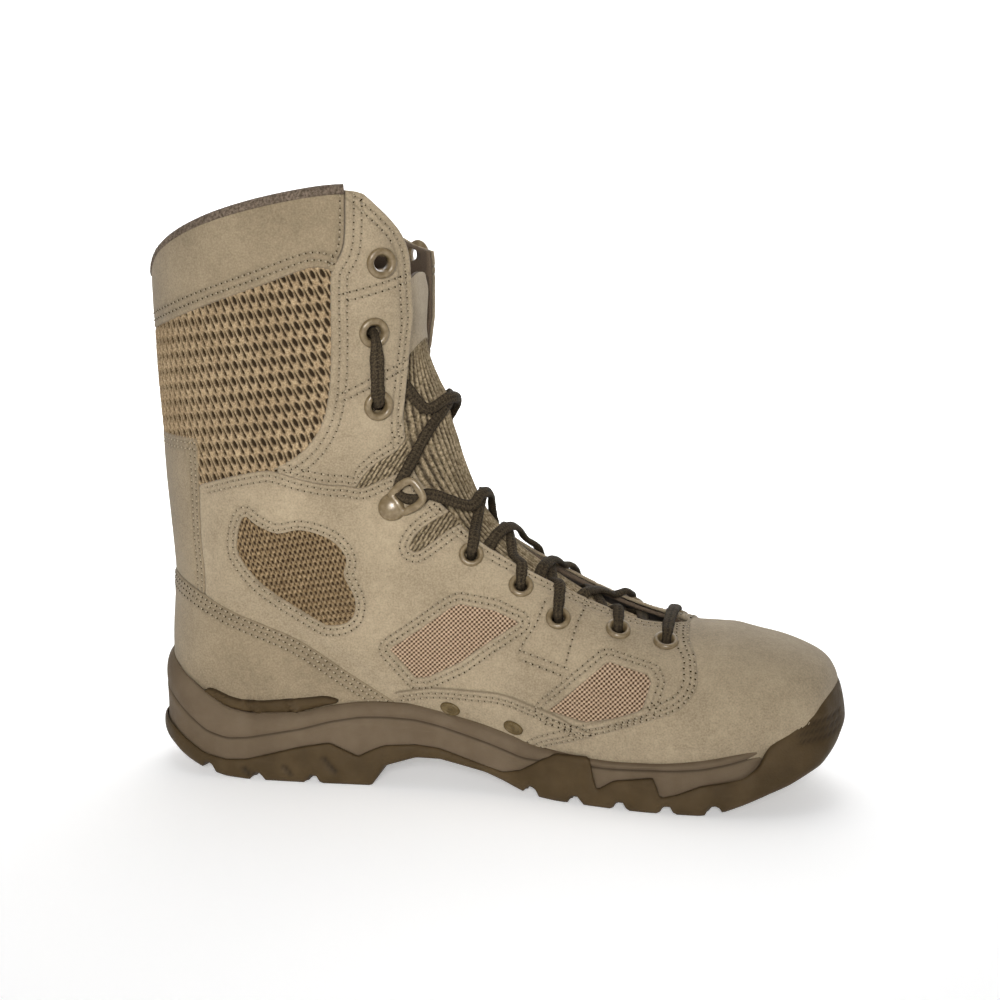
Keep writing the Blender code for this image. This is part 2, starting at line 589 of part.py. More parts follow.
def build_binding(parts):
    """The fabric binding that rolls over the collar, from one facing seam round the back to the other."""
    stations = []
    for side in (MEDIAL, LATERAL):
        edge = side_grid(side, COLLAR_STOP, -0.4)[-1]
        below = side_grid(side, COLLAR_STOP - 0.1, -0.4)[-1]
        rise = (edge - below) / np.linalg.norm(edge - below, axis=1, keepdims=True)
        points = edge + rise * (BINDING_RADIUS + BINDING_GAP)
        back = points[points[:, 0] < FACING_SEAM[1][0]]
        ahead = points[len(back)]
        share = (FACING_SEAM[1][0] - back[-1][0]) / (ahead[0] - back[-1][0])
        back = list(back) + [back[-1] + (ahead - back[-1]) * share]
        stations = back[::-1] if side == MEDIAL else stations + back[1:]
    cord("collar_binding", parts, stations, BINDING_RADIUS, "binding", 8)


def cord_mesh(points, radius, sides):
    """A bmesh in millimetres of a round cord through points, from a bevelled curve with filled ends."""
    curve = bpy.data.curves.new("guide", "CURVE")
    curve.dimensions = "3D"
    curve.bevel_depth = radius
    curve.bevel_resolution = max(0, sides // 2 - 2)
    curve.use_fill_caps = True
    spline = curve.splines.new("POLY")
    spline.points.add(len(points) - 1)
    for target, point in zip(spline.points, points):
        target.co = (*point, 1.0)
    guide = bpy.data.objects.new("guide", curve)
    bpy.context.scene.collection.objects.link(guide)
    graph = bpy.context.evaluated_depsgraph_get()
    mesh = bpy.data.meshes.new_from_object(guide.evaluated_get(graph))
    bm = bmesh.new()
    bm.from_mesh(mesh)
    bpy.data.objects.remove(guide, do_unlink=True)
    bpy.data.curves.remove(curve)
    bpy.data.meshes.remove(mesh)
    bmesh.ops.remove_doubles(bm, verts=bm.verts, dist=0.01)
    face_outward(bm)
    return bm


def cord(name, group, points, radius, finish=None, sides=LACE_SIDES):
    """A round cord through points as an object."""
    return object_from(cord_mesh(points, radius, sides), name, group, finish)


# Tongue and insole


def tongue_grid():
    """Points of the tongue, which follows the inside of the flaps and bulges between them."""
    stations = np.linspace(TONGUE_START, TONGUE_STOP, TONGUE_STATIONS)
    rows = []
    for section in stations:
        wide = min(throat_half(np.array(section)) + TONGUE_MARGIN, 0.86 * along("wide_half", section))
        bulge = np.interp(section, TONGUE_BULGE_AT, TONGUE_BULGE)
        sink = np.interp(section, TONGUE_SINK_AT, TONGUE_SINK)
        row = []
        for share in np.linspace(-1, 1, TONGUE_ACROSS + 1):
            half = abs(share) * wide
            side = MEDIAL if share < 0 else LATERAL
            middle = max(0.0, 1.0 - (half / max(throat_half(np.array(section)), 1.0)) ** 2)
            lift = bulge * middle - WALL - TONGUE_GAP - sink
            row.append(surface(section, girth_at_half(section, half), side, lift, False))
        rows.append(row)
    return np.array(rows)


def build_tongue(parts):
    """The padded tongue under the lace."""
    bm = bmesh.new()
    grid_faces(bm, tongue_grid(), True)
    bmesh.ops.remove_doubles(bm, verts=bm.verts, dist=0.02)
    tongue = object_from(bm, "tongue", parts, "mesh_fabric")
    solidify(tongue, TONGUE_THICK, -1.0)


def build_insole(parts):
    """The insole board on the footbed."""
    stations = section_stations(HEEL_BACK)[1:]
    low = along("base_z", stations) - INSOLE_DROP
    bm = bmesh.new()
    rows = []
    for side in (MEDIAL, LATERAL):
        points = surface(stations, np.zeros(len(stations)), side, -INSOLE_INSET)
        rows.append([bm.verts.new((x, y, z)) for (x, y, _), z in zip(points, low)])
    for (a, b), (c, d) in zip(zip(*rows), list(zip(*rows))[1:]):
        bm.faces.new((a, b, d))
        bm.faces.new((a, d, c))
    bmesh.ops.remove_doubles(bm, verts=bm.verts, dist=0.02)
    face_outward(bm)
    made = bmesh.ops.extrude_face_region(bm, geom=bm.faces[:])
    top = [item for item in made["geom"] if isinstance(item, bmesh.types.BMVert)]
    bmesh.ops.translate(bm, vec=(0, 0, INSOLE_THICK), verts=top)
    face_outward(bm)
    object_from(bm, "insole", parts, "insole")


# Sole


def sole_level(column, x):
    """A side line of the sole at a station."""
    table = np.array(SOLE_ROWS)
    return np.interp(x, table[:, 0], table[:, SOLE_COLUMNS.index(column)])


def outline_curve():
    """The sole's plan outline as a dense closed loop, with outward normals."""
    medial = [(x, m) for x, m, _ in OUTLINE_ROWS]
    lateral = [(x, l) for x, _, l in OUTLINE_ROWS[-2:0:-1]]
    loop = smooth_loop(medial + lateral, 24)
    step = np.roll(loop, -1, axis=0) - np.roll(loop, 1, axis=0)
    step /= np.linalg.norm(step, axis=1, keepdims=True)
    normal = np.stack([step[:, 1], -step[:, 0]], 1)
    outward = np.sign(np.sum(normal * (loop - loop.mean(axis=0)), axis=1).sum())
    return loop, normal * outward


def sole_stations():
    """Stations of the sole's walls: x, then the outline point and its normal on each side."""
    loop, normal = outline_curve()
    heel = int(np.argmin(loop[:, 0]))
    toe = int(np.argmax(loop[:, 0]))
    halves = {MEDIAL: np.arange(toe, heel + 1), LATERAL: np.arange(heel, len(loop) + toe + 1) % len(loop)}
    xs = sorted([row[0] for row in SOLE_ROWS] + [-156.8, 150.5, 154.8, 157.6])
    stations = []
    for x in xs:
        ends = {}
        for side, index in halves.items():
            order = index[np.argsort(loop[index, 0])]
            point = [np.interp(x, loop[order, 0], loop[order, axis]) for axis in (0, 1)]
            way = np.array([np.interp(x, loop[order, 0], normal[order, axis]) for axis in (0, 1)])
            ends[side] = (np.array([x, point[1]]), way / np.linalg.norm(way))
        stations.append((x, ends))
    return stations


def sole_solid(name, group, profile, finish=None):
    """A closed solid round the sole's outline: a profile of insets and heights at each station."""
    bm = bmesh.new()
    rows = []
    for x, ends in sole_stations():
        row = []
        for side in (MEDIAL, LATERAL):
            point, way = ends[side]
            inner = (point - way * TREAD_INSET)[0]
            spots = [(*(point - way * inset), z) for inset, z in profile(x, inner)]
            row.extend(spots if side == MEDIAL else spots[::-1])
        rows.append([bm.verts.new(spot) for spot in row])
    count = len(rows[0])
    for first, second in zip(rows, rows[1:]):
        for j in range(count):
            k = (j + 1) % count
            bm.faces.new((first[j], second[j], second[k]))
            bm.faces.new((first[j], second[k], first[k]))
    for row in (rows[0], rows[-1]):
        half = count // 2
        for j in range(half - 1):
            bm.faces.new((row[j], row[j + 1], row[count - 2 - j], row[count - 1 - j]))
    bmesh.ops.remove_doubles(bm, verts=bm.verts, dist=0.02)
    bmesh.ops.dissolve_degenerate(bm, edges=bm.edges, dist=0.01)
    loose = [face for face in bm.faces if face.calc_area() < 1e-5]
    bmesh.ops.delete(bm, geom=loose, context="FACES")
    face_outward(bm)
    return object_from(bm, name, group, finish)


def outsole_profile(x, inner_x):
    """Outsole wall at a station: tread, rounded edge, claw that leans in over the toe, and the inside of the tray."""
    tread = sole_level("tread", x)
    claw = sole_level("claw", x)
    core = sole_level("core", x)
    thick = sole_level("thick", x)
    round_up = min(3.2, 0.45 * (claw - tread))
    lean = 0.4 + BUMPER_LEAN * np.clip((x - BUMPER_START) / (SOLE_ROWS[-1][0] - BUMPER_START), 0, 1)
    inner_tread = min(tread, sole_level("tread", inner_x))
    inner_core = min(core, sole_level("core", inner_x))
    return [(TREAD_INSET, inner_tread), (TREAD_BEVEL, tread), (0.0, tread + round_up), (lean, claw),
            (thick, claw - 0.1), (thick, core), (TREAD_INSET, inner_core)]


def midsole_profile(x, inner_x):
    """Midsole wall at a station: a plain wall with a crease and a rim that leans in."""
    inset = sole_level("thick", x) + CLEARANCE
    core = sole_level("core", x) + CORE_GAP
    inner_core = min(core, sole_level("core", inner_x) + CORE_GAP)
    crease = sole_level("crease", x)
    rim = sole_level("rim", x)
    lean = sole_level("lean", x)
    return [(TREAD_INSET, inner_core), (inset, core), (inset, crease - CREASE_HALF), (inset + CREASE_DEPTH, crease),
            (inset, crease + CREASE_HALF), (inset + lean, rim), (TREAD_INSET, rim)]


def groove_cutter(group):
    """Grooves between the lugs."""
    bm = bmesh.new()
    for x in GROOVE_STATIONS:
        top = float(sole_level("tread", x)) + GROOVE_DEEP
        for side in (MEDIAL, LATERAL):
            turn = Matrix.Rotation(np.radians(side * GROOVE_SWEEP_DEG), 4, "Z")
            place = Matrix.Translation((x, side * GROOVE_SPINE, top - 10.0)) @ turn
            place = place @ Matrix.Translation((0, side * GROOVE_REACH / 2, 0))
            box_into(bm, place, (GROOVE_WIDE, GROOVE_REACH, 20.0))
    face_outward(bm)
    return object_from(bm, "lug_grooves", group)


def heel_rib_cutter(group):
    """The diagonal ribs on both sides of the heel."""
    loop, _ = outline_curve()
    bm = bmesh.new()
    for x, z, length in RIB_STATIONS:
        for side in (MEDIAL, LATERAL):
            near = loop[np.sign(loop[:, 1]) == side]
            y = near[np.argmin(np.abs(near[:, 0] - x)), 1]
            tilt = Matrix.Rotation(np.radians(RIB_TILT_DEG), 4, "Y")
            place = Matrix.Translation((x, y + side * (2.0 - RIB_DEEP), z)) @ tilt
            box_into(bm, place, (length, 4.0, RIB_WIDE))
    face_outward(bm)
    return object_from(bm, "heel_ribs", group)


def bumper_rib_cutter(group):
    """The upright ribs round the toe bumper."""
    bm = bmesh.new()
    for angle in BUMPER_RIB_ANGLES_DEG:
        turn = Matrix.Rotation(np.radians(angle), 4, "Z")
        place = Matrix.Translation((*BUMPER_RIB_CENTRE, BUMPER_RIB_Z)) @ turn
        place = place @ Matrix.Translation((BUMPER_RIB_RADIUS + BUMPER_RIB_SIZE[0] / 2 - RIB_DEEP, 0, 0))
        box_into(bm, place, BUMPER_RIB_SIZE)
    face_outward(bm)
    return object_from(bm, "bumper_ribs", group)


def build_sole(parts, cutters):
    """Midsole and outsole, both hollowed to the last."""
    foot = last_solid("last", cutters, LAST_LIFT)
    midsole = sole_solid("midsole", parts, midsole_profile, "midsole")
    boolean(midsole, foot, "DIFFERENCE")
    outsole = sole_solid("outsole", parts, outsole_profile, "outsole")
    boolean(outsole, foot, "DIFFERENCE")
    for cutter in (groove_cutter, heel_rib_cutter, bumper_rib_cutter):
        boolean(outsole, cutter(cutters), "DIFFERENCE")


# Hardware


def ring_into(bm, matrix, profile, sides=EYELET_SIDES):
    """A ring turned from a closed profile of (radius, height)."""
    loops = []
    for k in range(sides):
        angle = 2 * np.pi * k / sides
        loops.append([bm.verts.new(matrix @ Vector((r * np.cos(angle), r * np.sin(angle), z)))
                      for r, z in profile])
    for k in range(sides):
        for j in range(len(profile)):
            i = (j + 1) % len(profile)
            n = (k + 1) % sides
            bm.faces.new((loops[k][j], loops[n][j], loops[n][i], loops[k][i]))


def build_eyelets(parts):
    """Flanged eyelets through the flaps."""
    for side, word in SIDE_NAME.items():
        for letter, (x, z, flange, bore) in EYELETS.items():
            seat = OVERLAY_TOP + CLEARANCE
            profile = [(bore, EYELET_FOOT), (bore + EYELET_WALL, EYELET_FOOT), (bore + EYELET_WALL, seat),
                       (flange, seat), (bore + 0.8, seat + EYELET_CROWN)]
            bm = bmesh.new()
            ring_into(bm, frame_at(x, z, side), profile)
            face_outward(bm)
            object_from(bm, "eyelet_%s_%s" % (letter, word), parts, "hardware")


def build_hooks(parts, cutters):
    """Speed hooks: a round-ended plate with a bent loop."""
    for side, word in SIDE_NAME.items():
        place = frame_at(*HOOK, side, OVERLAY_TOP + CLEARANCE + 0.4)
        length, wide, thick = HOOK_PLATE
        bm = bmesh.new()
        cylinder_into(bm, place @ Matrix.Diagonal((length / wide, 1.0, 1.0, 1.0)), wide, 0.0, thick, 16)
        plate = object_from(bm, "hook_" + word, parts, "hardware")
        bend = [(1.0, -2.6, 0.6), (2.2, -2.8, 3.4), (4.6, -2.6, HOOK_RISE - 1.4), (6.6, 0.0, HOOK_RISE - 0.6),
                (4.6, 2.6, HOOK_RISE - 1.4), (2.2, 2.8, 3.4), (1.0, 2.6, 0.6)]
        points = [place @ Vector(spot) for spot in bend]
        boolean(plate, cord("hook_loop_" + word, cutters, points, HOOK_ROD, None, 8), "UNION")


def build_vents(parts):
    """Drain rivets low on the medial side of the arch."""
    for number, (x, z) in enumerate(VENTS, 1):
        place = frame_at(x, z, MEDIAL, OVERLAY_TOP + VENT_SEAT)
        long_half, short_half = VENT_HALF
        profile = [(1.0, 0.0), (short_half, 0.0), (short_half - 0.3, 0.8), (short_half - 0.9, VENT_RISE),
                   (1.0, VENT_RISE - 0.5)]
        bm = bmesh.new()
        ring_into(bm, place @ Matrix.Diagonal((long_half / short_half, 1.0, 1.0, 1.0)), profile)
        face_outward(bm)
        object_from(bm, "vent_%d" % number, parts, "hardware")


# Lace


def lace_spot(letter, side):
    """Section and girth of an eyelet or, for the letter hook, of a speed hook."""
    x, z = HOOK if letter == "hook" else EYELETS[letter][:2]
    return nearest_on_side(x, z, side)


def over_tongue(section, share):
    """A lace point over the tongue: share runs from -1 at the medial flap to 1 at the lateral flap."""
    half = abs(share) * throat_half(np.array(section))
    bulge = np.interp(section, TONGUE_BULGE_AT, TONGUE_BULGE) * (1.0 - share**2)
    side = MEDIAL if share < 0 else LATERAL
    lift = -WALL - TONGUE_GAP + bulge + LACE_HALF + LACE_OVER_TONGUE
    return surface(section, girth_at_half(section, half), side, lift, False)


def strand(low, high, side, rise):
    """Points of a strand from an eyelet on one side, over its flap, down to the far flap below the next one."""
    section, girth = lace_spot(low, side)
    target = lace_spot(high, -side)[0]
    edge = girth_at_half(section, throat_half(np.array(section)))
    up = surface(section, 1.0, side, 1.0, False) - surface(section, 1.0, side, 0.0, False)
    points = [surface(section + 0.08, 0.5 * (girth + edge), side, LACE_LIFT + rise)]
    if low == "hook":
        points = [surface(section + 0.1, 0.15 * girth + 0.85 * edge, side, LACE_SEAT + rise)]
    else:
        points.insert(0, surface(section, girth, side, LACE_LIFT + rise))
    for share, part in ((0.95, 0.15), (0.55, 0.3), (0.15, 0.45), (-0.15, 0.58), (-0.5, 0.72)):
        point = over_tongue(section + (target - section) * part, side * share)
        points.append(point + up * (rise + LACE_ARCH * (1 - abs(share)) + LACE_EDGE * abs(share)))
    return points


def build_lace(parts, cutters):
    """The lace: a bar at the toe end, crossings over the tongue, and a run on the outside of each flap."""
    bar = []
    for side in (MEDIAL, LATERAL):
        spot, girth = lace_spot("h", side)
        path = [surface(spot, part, side, LACE_LIFT) for part in np.linspace(girth, 1.0, 5)]
        bar = path if side == MEDIAL else bar + path[-2::-1]
    cord("lace_bar", parts, bar, LACE_HALF, "lace")
    rows = ("g", "f", "e", "d", "hook", "c")
    for number, (low, high) in enumerate(zip(rows, rows[1:]), 1):
        first = cord("lace_cross_%d" % number, parts, strand(low, high, MEDIAL, 0.0), LACE_HALF, "lace")
        second = cord("lace_over_%d" % number, cutters, strand(low, high, LATERAL, 1.0), LACE_HALF)
        boolean(first, second, "UNION")
    for side, word in SIDE_NAME.items():
        low, high = lace_spot("c", side), lace_spot("b", side)
        shares = np.linspace(0.0, 1.0, 6)
        points = [surface(low[0] + (high[0] - low[0]) * f, low[1] + (high[1] - low[1]) * f, side, LACE_LIFT)
                  for f in shares]
        cord("lace_run_" + word, parts, points, LACE_HALF, "lace")


def main():
    """Builds the boot, piece by piece."""
    clear_scene()
    parts = collection_named(OBJECT, False)
    cutters = collection_named("cutters", True)
    build_upper(parts, cutters)
    build_binding(parts)
    build_tongue(parts)
    build_insole(parts)
    build_sole(parts, cutters)
    build_eyelets(parts)
    build_hooks(parts, cutters)
    build_vents(parts)
    build_lace(parts, cutters)


main()
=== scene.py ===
"""Looks of a left tactical boot: suede overlays on mesh, a moulded sole, eyelets and one lace.

Sizes are in millimetres in the boot's own frame, and become metres where a mesh is made.
X runs forward to the toe, -Y is the inner (medial) side, Z is up, and the floor is z = 0.
"""

from __future__ import annotations

import logging
from dataclasses import dataclass, field, replace
from enum import Enum

import bpy
import numpy as np
from mathutils import Matrix, Vector
from mathutils.bvhtree import BVHTree
from mathutils.kdtree import KDTree


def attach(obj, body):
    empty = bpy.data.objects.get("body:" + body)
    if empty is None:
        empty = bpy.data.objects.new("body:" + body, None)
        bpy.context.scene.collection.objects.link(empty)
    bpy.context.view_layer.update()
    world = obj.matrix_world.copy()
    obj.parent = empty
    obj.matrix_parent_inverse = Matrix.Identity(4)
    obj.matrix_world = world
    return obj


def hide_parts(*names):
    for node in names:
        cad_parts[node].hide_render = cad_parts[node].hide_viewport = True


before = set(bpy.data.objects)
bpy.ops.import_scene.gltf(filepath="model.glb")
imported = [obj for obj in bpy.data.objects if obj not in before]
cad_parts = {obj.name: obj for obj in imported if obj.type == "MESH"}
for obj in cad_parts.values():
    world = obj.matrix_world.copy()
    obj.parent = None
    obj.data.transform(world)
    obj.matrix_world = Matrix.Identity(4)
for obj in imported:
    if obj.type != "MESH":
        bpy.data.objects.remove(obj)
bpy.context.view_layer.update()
LOG = logging.getLogger("boot")
MM = 0.001
FAR = 1e9
BODY = "root"
Array = np.ndarray
Arrays = tuple[Array, Array]
Words = tuple[str, ...]
Floats = tuple[float, ...]
Pair = tuple[float, float]
Triple = tuple[float, float, float]
Pairs = tuple[Pair, ...]
Quads = tuple[tuple[float, float, float, float], ...]
Colour = Triple
Material = bpy.types.Material
Socket = bpy.types.NodeSocket
Piece = bpy.types.Object


class Side(Enum):
    """The two sides of the boot, by the sign of Y."""

    MEDIAL = -1
    LATERAL = 1

    @property
    def word(self) -> str:
        """The side's name as it stands in node names."""
        return self.name.lower()

    @property
    def other(self) -> Side:
        """The side across the boot."""
        return Side(-self.value)


class Slot(Enum):
    """Material slots of the record."""

    SUEDE = "suede"
    MESH = "mesh"
    BINDING = "binding"
    INSOLE = "insole"
    MIDSOLE = "midsole"
    OUTSOLE = "outsole"
    HARDWARE = "hardware"
    LACE = "lace"


BOTH = (Side.MEDIAL, Side.LATERAL)

# Sections of the last, toe to collar
SECTION_COLUMNS = ("base_x", "base_y", "base_z", "base_share", "ridge_x", "ridge_y", "ridge_z",
                   "wide_half", "wide_at", "round_top", "gap", "crown")
SECTIONS = np.array((
    (149.5, -10, 33, 0.9, 153, -10, 48, 0, 0.4, 2.3, 0, 0),
    (147, -9.5, 31, 0.9, 151, -10, 55.5, 16, 0.4, 2.3, 0, 0),
    (140.5, -8, 27, 0.9, 145, -10, 61.5, 29, 0.4, 2.3, 0, 0),
    (126, -5, 21, 0.9, 130, -9.5, 67, 40, 0.4, 2.3, 0, 0),
    (106, -2.5, 16, 0.91, 110, -8.5, 71, 46.8, 0.38, 2.2, 0, 0),
    (84, -0.5, 14, 0.92, 88, -8, 73.5, 49.8, 0.36, 2.1, 12, 0),
    (62, 1, 13.5, 0.92, 64, -7, 80, 49.2, 0.34, 2, 14, 0),
    (36, 3, 15, 0.92, 38, -6, 92, 45.5, 0.33, 1.95, 16, 0),
    (6, 4.5, 19.5, 0.91, 14, -5, 107, 40, 0.33, 1.95, 18, 0),
    (-28, 3.5, 24, 0.9, -2, -3.5, 122, 36.5, 0.33, 2, 20, 0),
    (-62, 2, 26.5, 0.9, -12, -2, 138, 35.5, 0.33, 2.05, 21, 0),
    (-98, 0.5, 27, 0.9, -19, -1, 153, 35, 0.33, 2.1, 22, 0),
    (-124, 0.5, 27, 0.77, -23, 0, 164, 36, 0.34, 2.15, 22, 0),
    (-142, 0.5, 28.5, 0.46, -25, 0, 173, 37, 0.36, 2.2, 22, 0),
    (-149, 0.5, 31, 0, -26, 0, 181, 38, 0.38, 2.2, 22, 0),
    (-150, 0.5, 55, 0, -26.5, 0, 191, 39.5, 0.42, 2.2, 22, 0),
    (-148.5, 0.5, 92, 0, -26.5, 0, 204, 41, 0.45, 2.25, 22, 0.1),
    (-151.5, 0.5, 135, 0, -26, 0, 219, 43, 0.48, 2.3, 22, 0.35),
    (-155, 0.5, 184, 0, -25.5, 0, 234, 45, 0.5, 2.3, 22, 0.7),
    (-155.5, 0.5, 229, 0, -26, 0, 246, 46.5, 0.5, 2.3, 22, 1),
))
LAST_SECTION = float(len(SECTIONS) - 1)
THROAT_START, THROAT_ROUND, HEEL_BACK, COLLAR_STOP = 5.0, 0.8, 14.0, 18.9
SPLIT_GIRTH, SPLIT_AT, SPLIT_RANGE, BASE_SHARE_LIMIT = 0.5, 0.4, (0.6, 1.1), 0.97
CROWN_AT = (0.0, 0.08, 0.25, 0.50, 0.75, 0.86, 1.0)
CROWN_UP = {
    Side.MEDIAL: (0.0, 12.0, 20.5, 25.0, 24.8, 17.0, 0.0),
    Side.LATERAL: (0.0, 10.0, 14.0, 12.5, 3.0, -5.0, -12.0),
}

# Layers and grids of the upper
WALL, WALL_TOP = 2.2, -0.55
OVERLAY_TOP = 1.5
ROW_STEP, WALL_STEP = 2.2, 3.8
GRID_STEP = {Side.MEDIAL: 1.7, Side.LATERAL: 2.8}
FABRIC_STEP = {Side.MEDIAL: 0.47, Side.LATERAL: 0.80}
WEAVE_STEP = {Side.MEDIAL: 0.36, Side.LATERAL: 0.48}
TIP_SECTIONS, TIP_GIRTH = 0.01, 0.95
TRACK_POINTS, EDGE_POINTS, GIRTH_LENGTH = 3000, 900, 150.0
SLOPE_RANGE = (0.4, 1.05)
TOE_SECTIONS, TOE_PENALTY = 3.0, 60.0
SPOT_ROUNDS, SPOT_STEP, SPOT_LIMIT = 5, 1e-3, np.array((0.05, 0.01))
SURFACE_STEP, JOIN_DECIMALS = 2e-3, 2
SEAM_STEPS, WINDOW_STEPS, CREASE_STEPS, CROWN_STEPS = 5, 4, 6, 10

# Seams and edges of the overlays in the side view, as (x, z)
FACING_SWOOP = ((-54, 139.2), (-49.3, 144.1), (-44.1, 147.6), (-40.6, 149.8), (-37.4, 154),
                (-35.4, 159), (-33, 170))
QUARTER_BROW = ((-14, 146), (-28, 143), (-36.9, 141), (-46.9, 137.4))
SEAMS = {
    "vamp": ((22, 16), (29, 23), (54, 32.5), (72, 39.2), (88.5, 46), (95.5, 55), (94.5, 65), (90, 72),
             (86, 90)),
    "counter": ((-170, 92), (-149, 91), (-130, 85.5), (-105, 75), (-82, 65.5), (-60, 51.5), (-37.5, 37),
                (-26, 24)),
    "quarter_top": ((60, 100), (0, 140), *QUARTER_BROW, (-53.5, 134.6), (-57.2, 134.6), (-62, 135.8),
                    (-68, 136.2), (-80, 138.8), (-92, 142.4), (-100, 141.8), (-112, 139), (-124.6, 135.2)),
    "backstay": ((-127.8, 155), (-127.8, 134), (-127.8, 113), (-126.2, 94), (-126.5, 84)),
    "backstay_top": ((-170, 155), (-127.8, 155)),
    "facing": ((-57.5, 275), (-57.7, 264), (-58.2, 246), (-59.6, 238), (-63.4, 231), (-64.6, 224),
               (-65.2, 196), (-66.6, 178), (-69.2, 166), (-73.6, 157.3), (-79.5, 150.6), (-86.5, 146),
               (-92.5, 142.8)),
    "facing_foot": ((-92.5, 142.8), (-80, 138.5), (-68, 135.9), (-62, 135.5), (-57.2, 134.6),
                    *FACING_SWOOP),
    "cuff": ((-170, 195.5), (-157, 200.3), (-150.6, 202.4), (-123.4, 213), (-94.2, 223.3), (-80, 228.6),
             (-72.2, 231.1), (-66.5, 230.6), (-61.5, 228.5)),
    "cross_high": ((-60, 218.2), (-44.4, 222.6), (-30, 228)),
    "cross_low": ((-62.4, 174.6), (-49.3, 181.4), (-32, 191)),
    "tab_rear": ((27.5, 87), (25.7, 81.4), (24.3, 76.9), (19.5, 69.6), (17.5, 64.6)),
    "tab_front": ((45, 87), (43.7, 82), (41.9, 77.3), (40.6, 71.3), (38.7, 62.4)),
    "tab_box": ((18.6, 64.2), (39.1, 58.4)),
    "strip": ((-38.5, 43.3), (-26, 45.7), (-17.3, 46.4), (-2, 46.4), (6.5, 46.4), (15.1, 45.2),
              (25.3, 42.4), (31.4, 40.3), (41.2, 36.3), (52, 33)),
}
CORNER_SHARES = (0.0, 0.16, 0.84)
CLOSED_SEAMS = {
    "ankle": ((-106, 121), (-100, 117.6), (-91, 114), (-81, 115.6), (-68, 111), (-61.3, 102.8),
              (-62.4, 95.5), (-57.2, 84.5), (-59.2, 75.6), (-68.5, 73), (-77.5, 77.3), (-95, 88.3),
              (-105.7, 99.5), (-109.2, 108.7)),
    "weave_rear": ((-41, 63.1), (-29.9, 50.7), (-24.4, 51.2), (-9.6, 58.9), (2.4, 68.2), (16.4, 77.6),
                   (5.8, 81.9), (-10.2, 84.2), (-14, 82.4), (-24.9, 74.4)),
    "weave_front": ((31.4, 41), (47.7, 38.1), (61.2, 41.4), (72.4, 45.7), (75.7, 56.4), (74, 59.1),
                    (56.8, 63.5), (45.4, 53.8)),
    "notch_low": ((2, 132), (-12, 126.4), (-17.4, 123), (-22.8, 119.9), (-28.2, 116.1), (-32.2, 111.4),
                  (-33.1, 108), (-29.9, 106.4), (-23.8, 110.4), (-16.8, 115.6), (-10.1, 118.4), (4, 119.5)),
    "notch_high": ((-57.4, 134.2), *FACING_SWOOP, (-8, 172), (2, 140), *QUARTER_BROW, (-53.5, 134.4)),
    "stabilizer": ((-128.2, 38.4), (-121.4, 34.6), (-116.8, 32.2), (-109.3, 30.8), (-102.1, 30.5),
                   (-94.3, 31), (-83.5, 32.3), (-72.9, 35.4), (-65.8, 37.4), (-66.6, 39.3), (-72.1, 40.3),
                   (-79.9, 39.2), (-88.4, 38.2), (-99.2, 36.8), (-104.9, 36.6), (-110.7, 36.6),
                   (-116.7, 37.8), (-121.2, 39.6), (-125.1, 40.6), (-127.6, 40.2)),
}
FLAP_TRIM = {
    Side.MEDIAL: ((-75, 272), (-60, 269), (-53, 264.8), (-46.5, 258.6), (-41, 252.4), (-36.8, 246),
                  (-34.2, 238), (-33.4, 228), (-33, 205)),
    Side.LATERAL: ((-75, 257), (-60, 254.8), (-53, 253.2), (-46, 250.4), (-40, 246), (-35.8, 239.5),
                   (-33.8, 231), (-33.4, 217), (-33, 200)),
}

FLAP_SURROUND = ((-20, 150), (20, 100), (170, 80), (170, -20), (-190, -20),
                 (-190, 290), (-75, 290))

# Eyelets from the top to the toe, as (x, z, flange radius, bore radius)
EYELETS = {
    "a": (-44.2, 233, 6.7, 3.2),
    "b": (-47.8, 203, 6.7, 3.2),
    "c": (-47.2, 171, 6.7, 3.2),
    "d": (-6.4, 105, 5.5, 2.7),
    "e": (16.1, 92, 5.5, 2.7),
    "f": (33.6, 79.5, 5.5, 2.7),
    "g": (59.4, 74.5, 5.5, 2.7),
    "h": (80.3, 70, 5.5, 2.7),
}
HOOK = (-38, 128)
VENTS = ((-13.9, 37.7), (15.4, 31.7))

# The tongue's height over the flaps' line, by section
TONGUE_BULGE_AT = (4.7, 5.6, 7, 9, 11, 13, 14, 15, 16, 17.5)
TONGUE_BULGE = (0, 0, 0.2, 1.6, 5.2, 5.8, 2.8, -0.8, -3.2, -4)
TONGUE_SINK_AT = (4.7, 6.4, 7.6)
TONGUE_SINK = (1.8, 1.4, 0)
TONGUE_GAP = 1.6

# Plan outline of the sole from the toe, as (x, medial y, lateral y)
OUTLINE_ROWS = (
    (158, -10, -10), (153, -31, 13), (145, -41, 27), (130, -49, 40),
    (110, -54, 49), (85, -55, 54), (65, -53, 55), (40, -47.5, 54),
    (10, -41, 50.5), (-20, -38.5, 46.5), (-50, -38.5, 43.5), (-80, -39.5, 41.5),
    (-110, -39, 40), (-135, -34.5, 35.5), (-150, -22, 23), (-158, 0.5, 0.5),
)

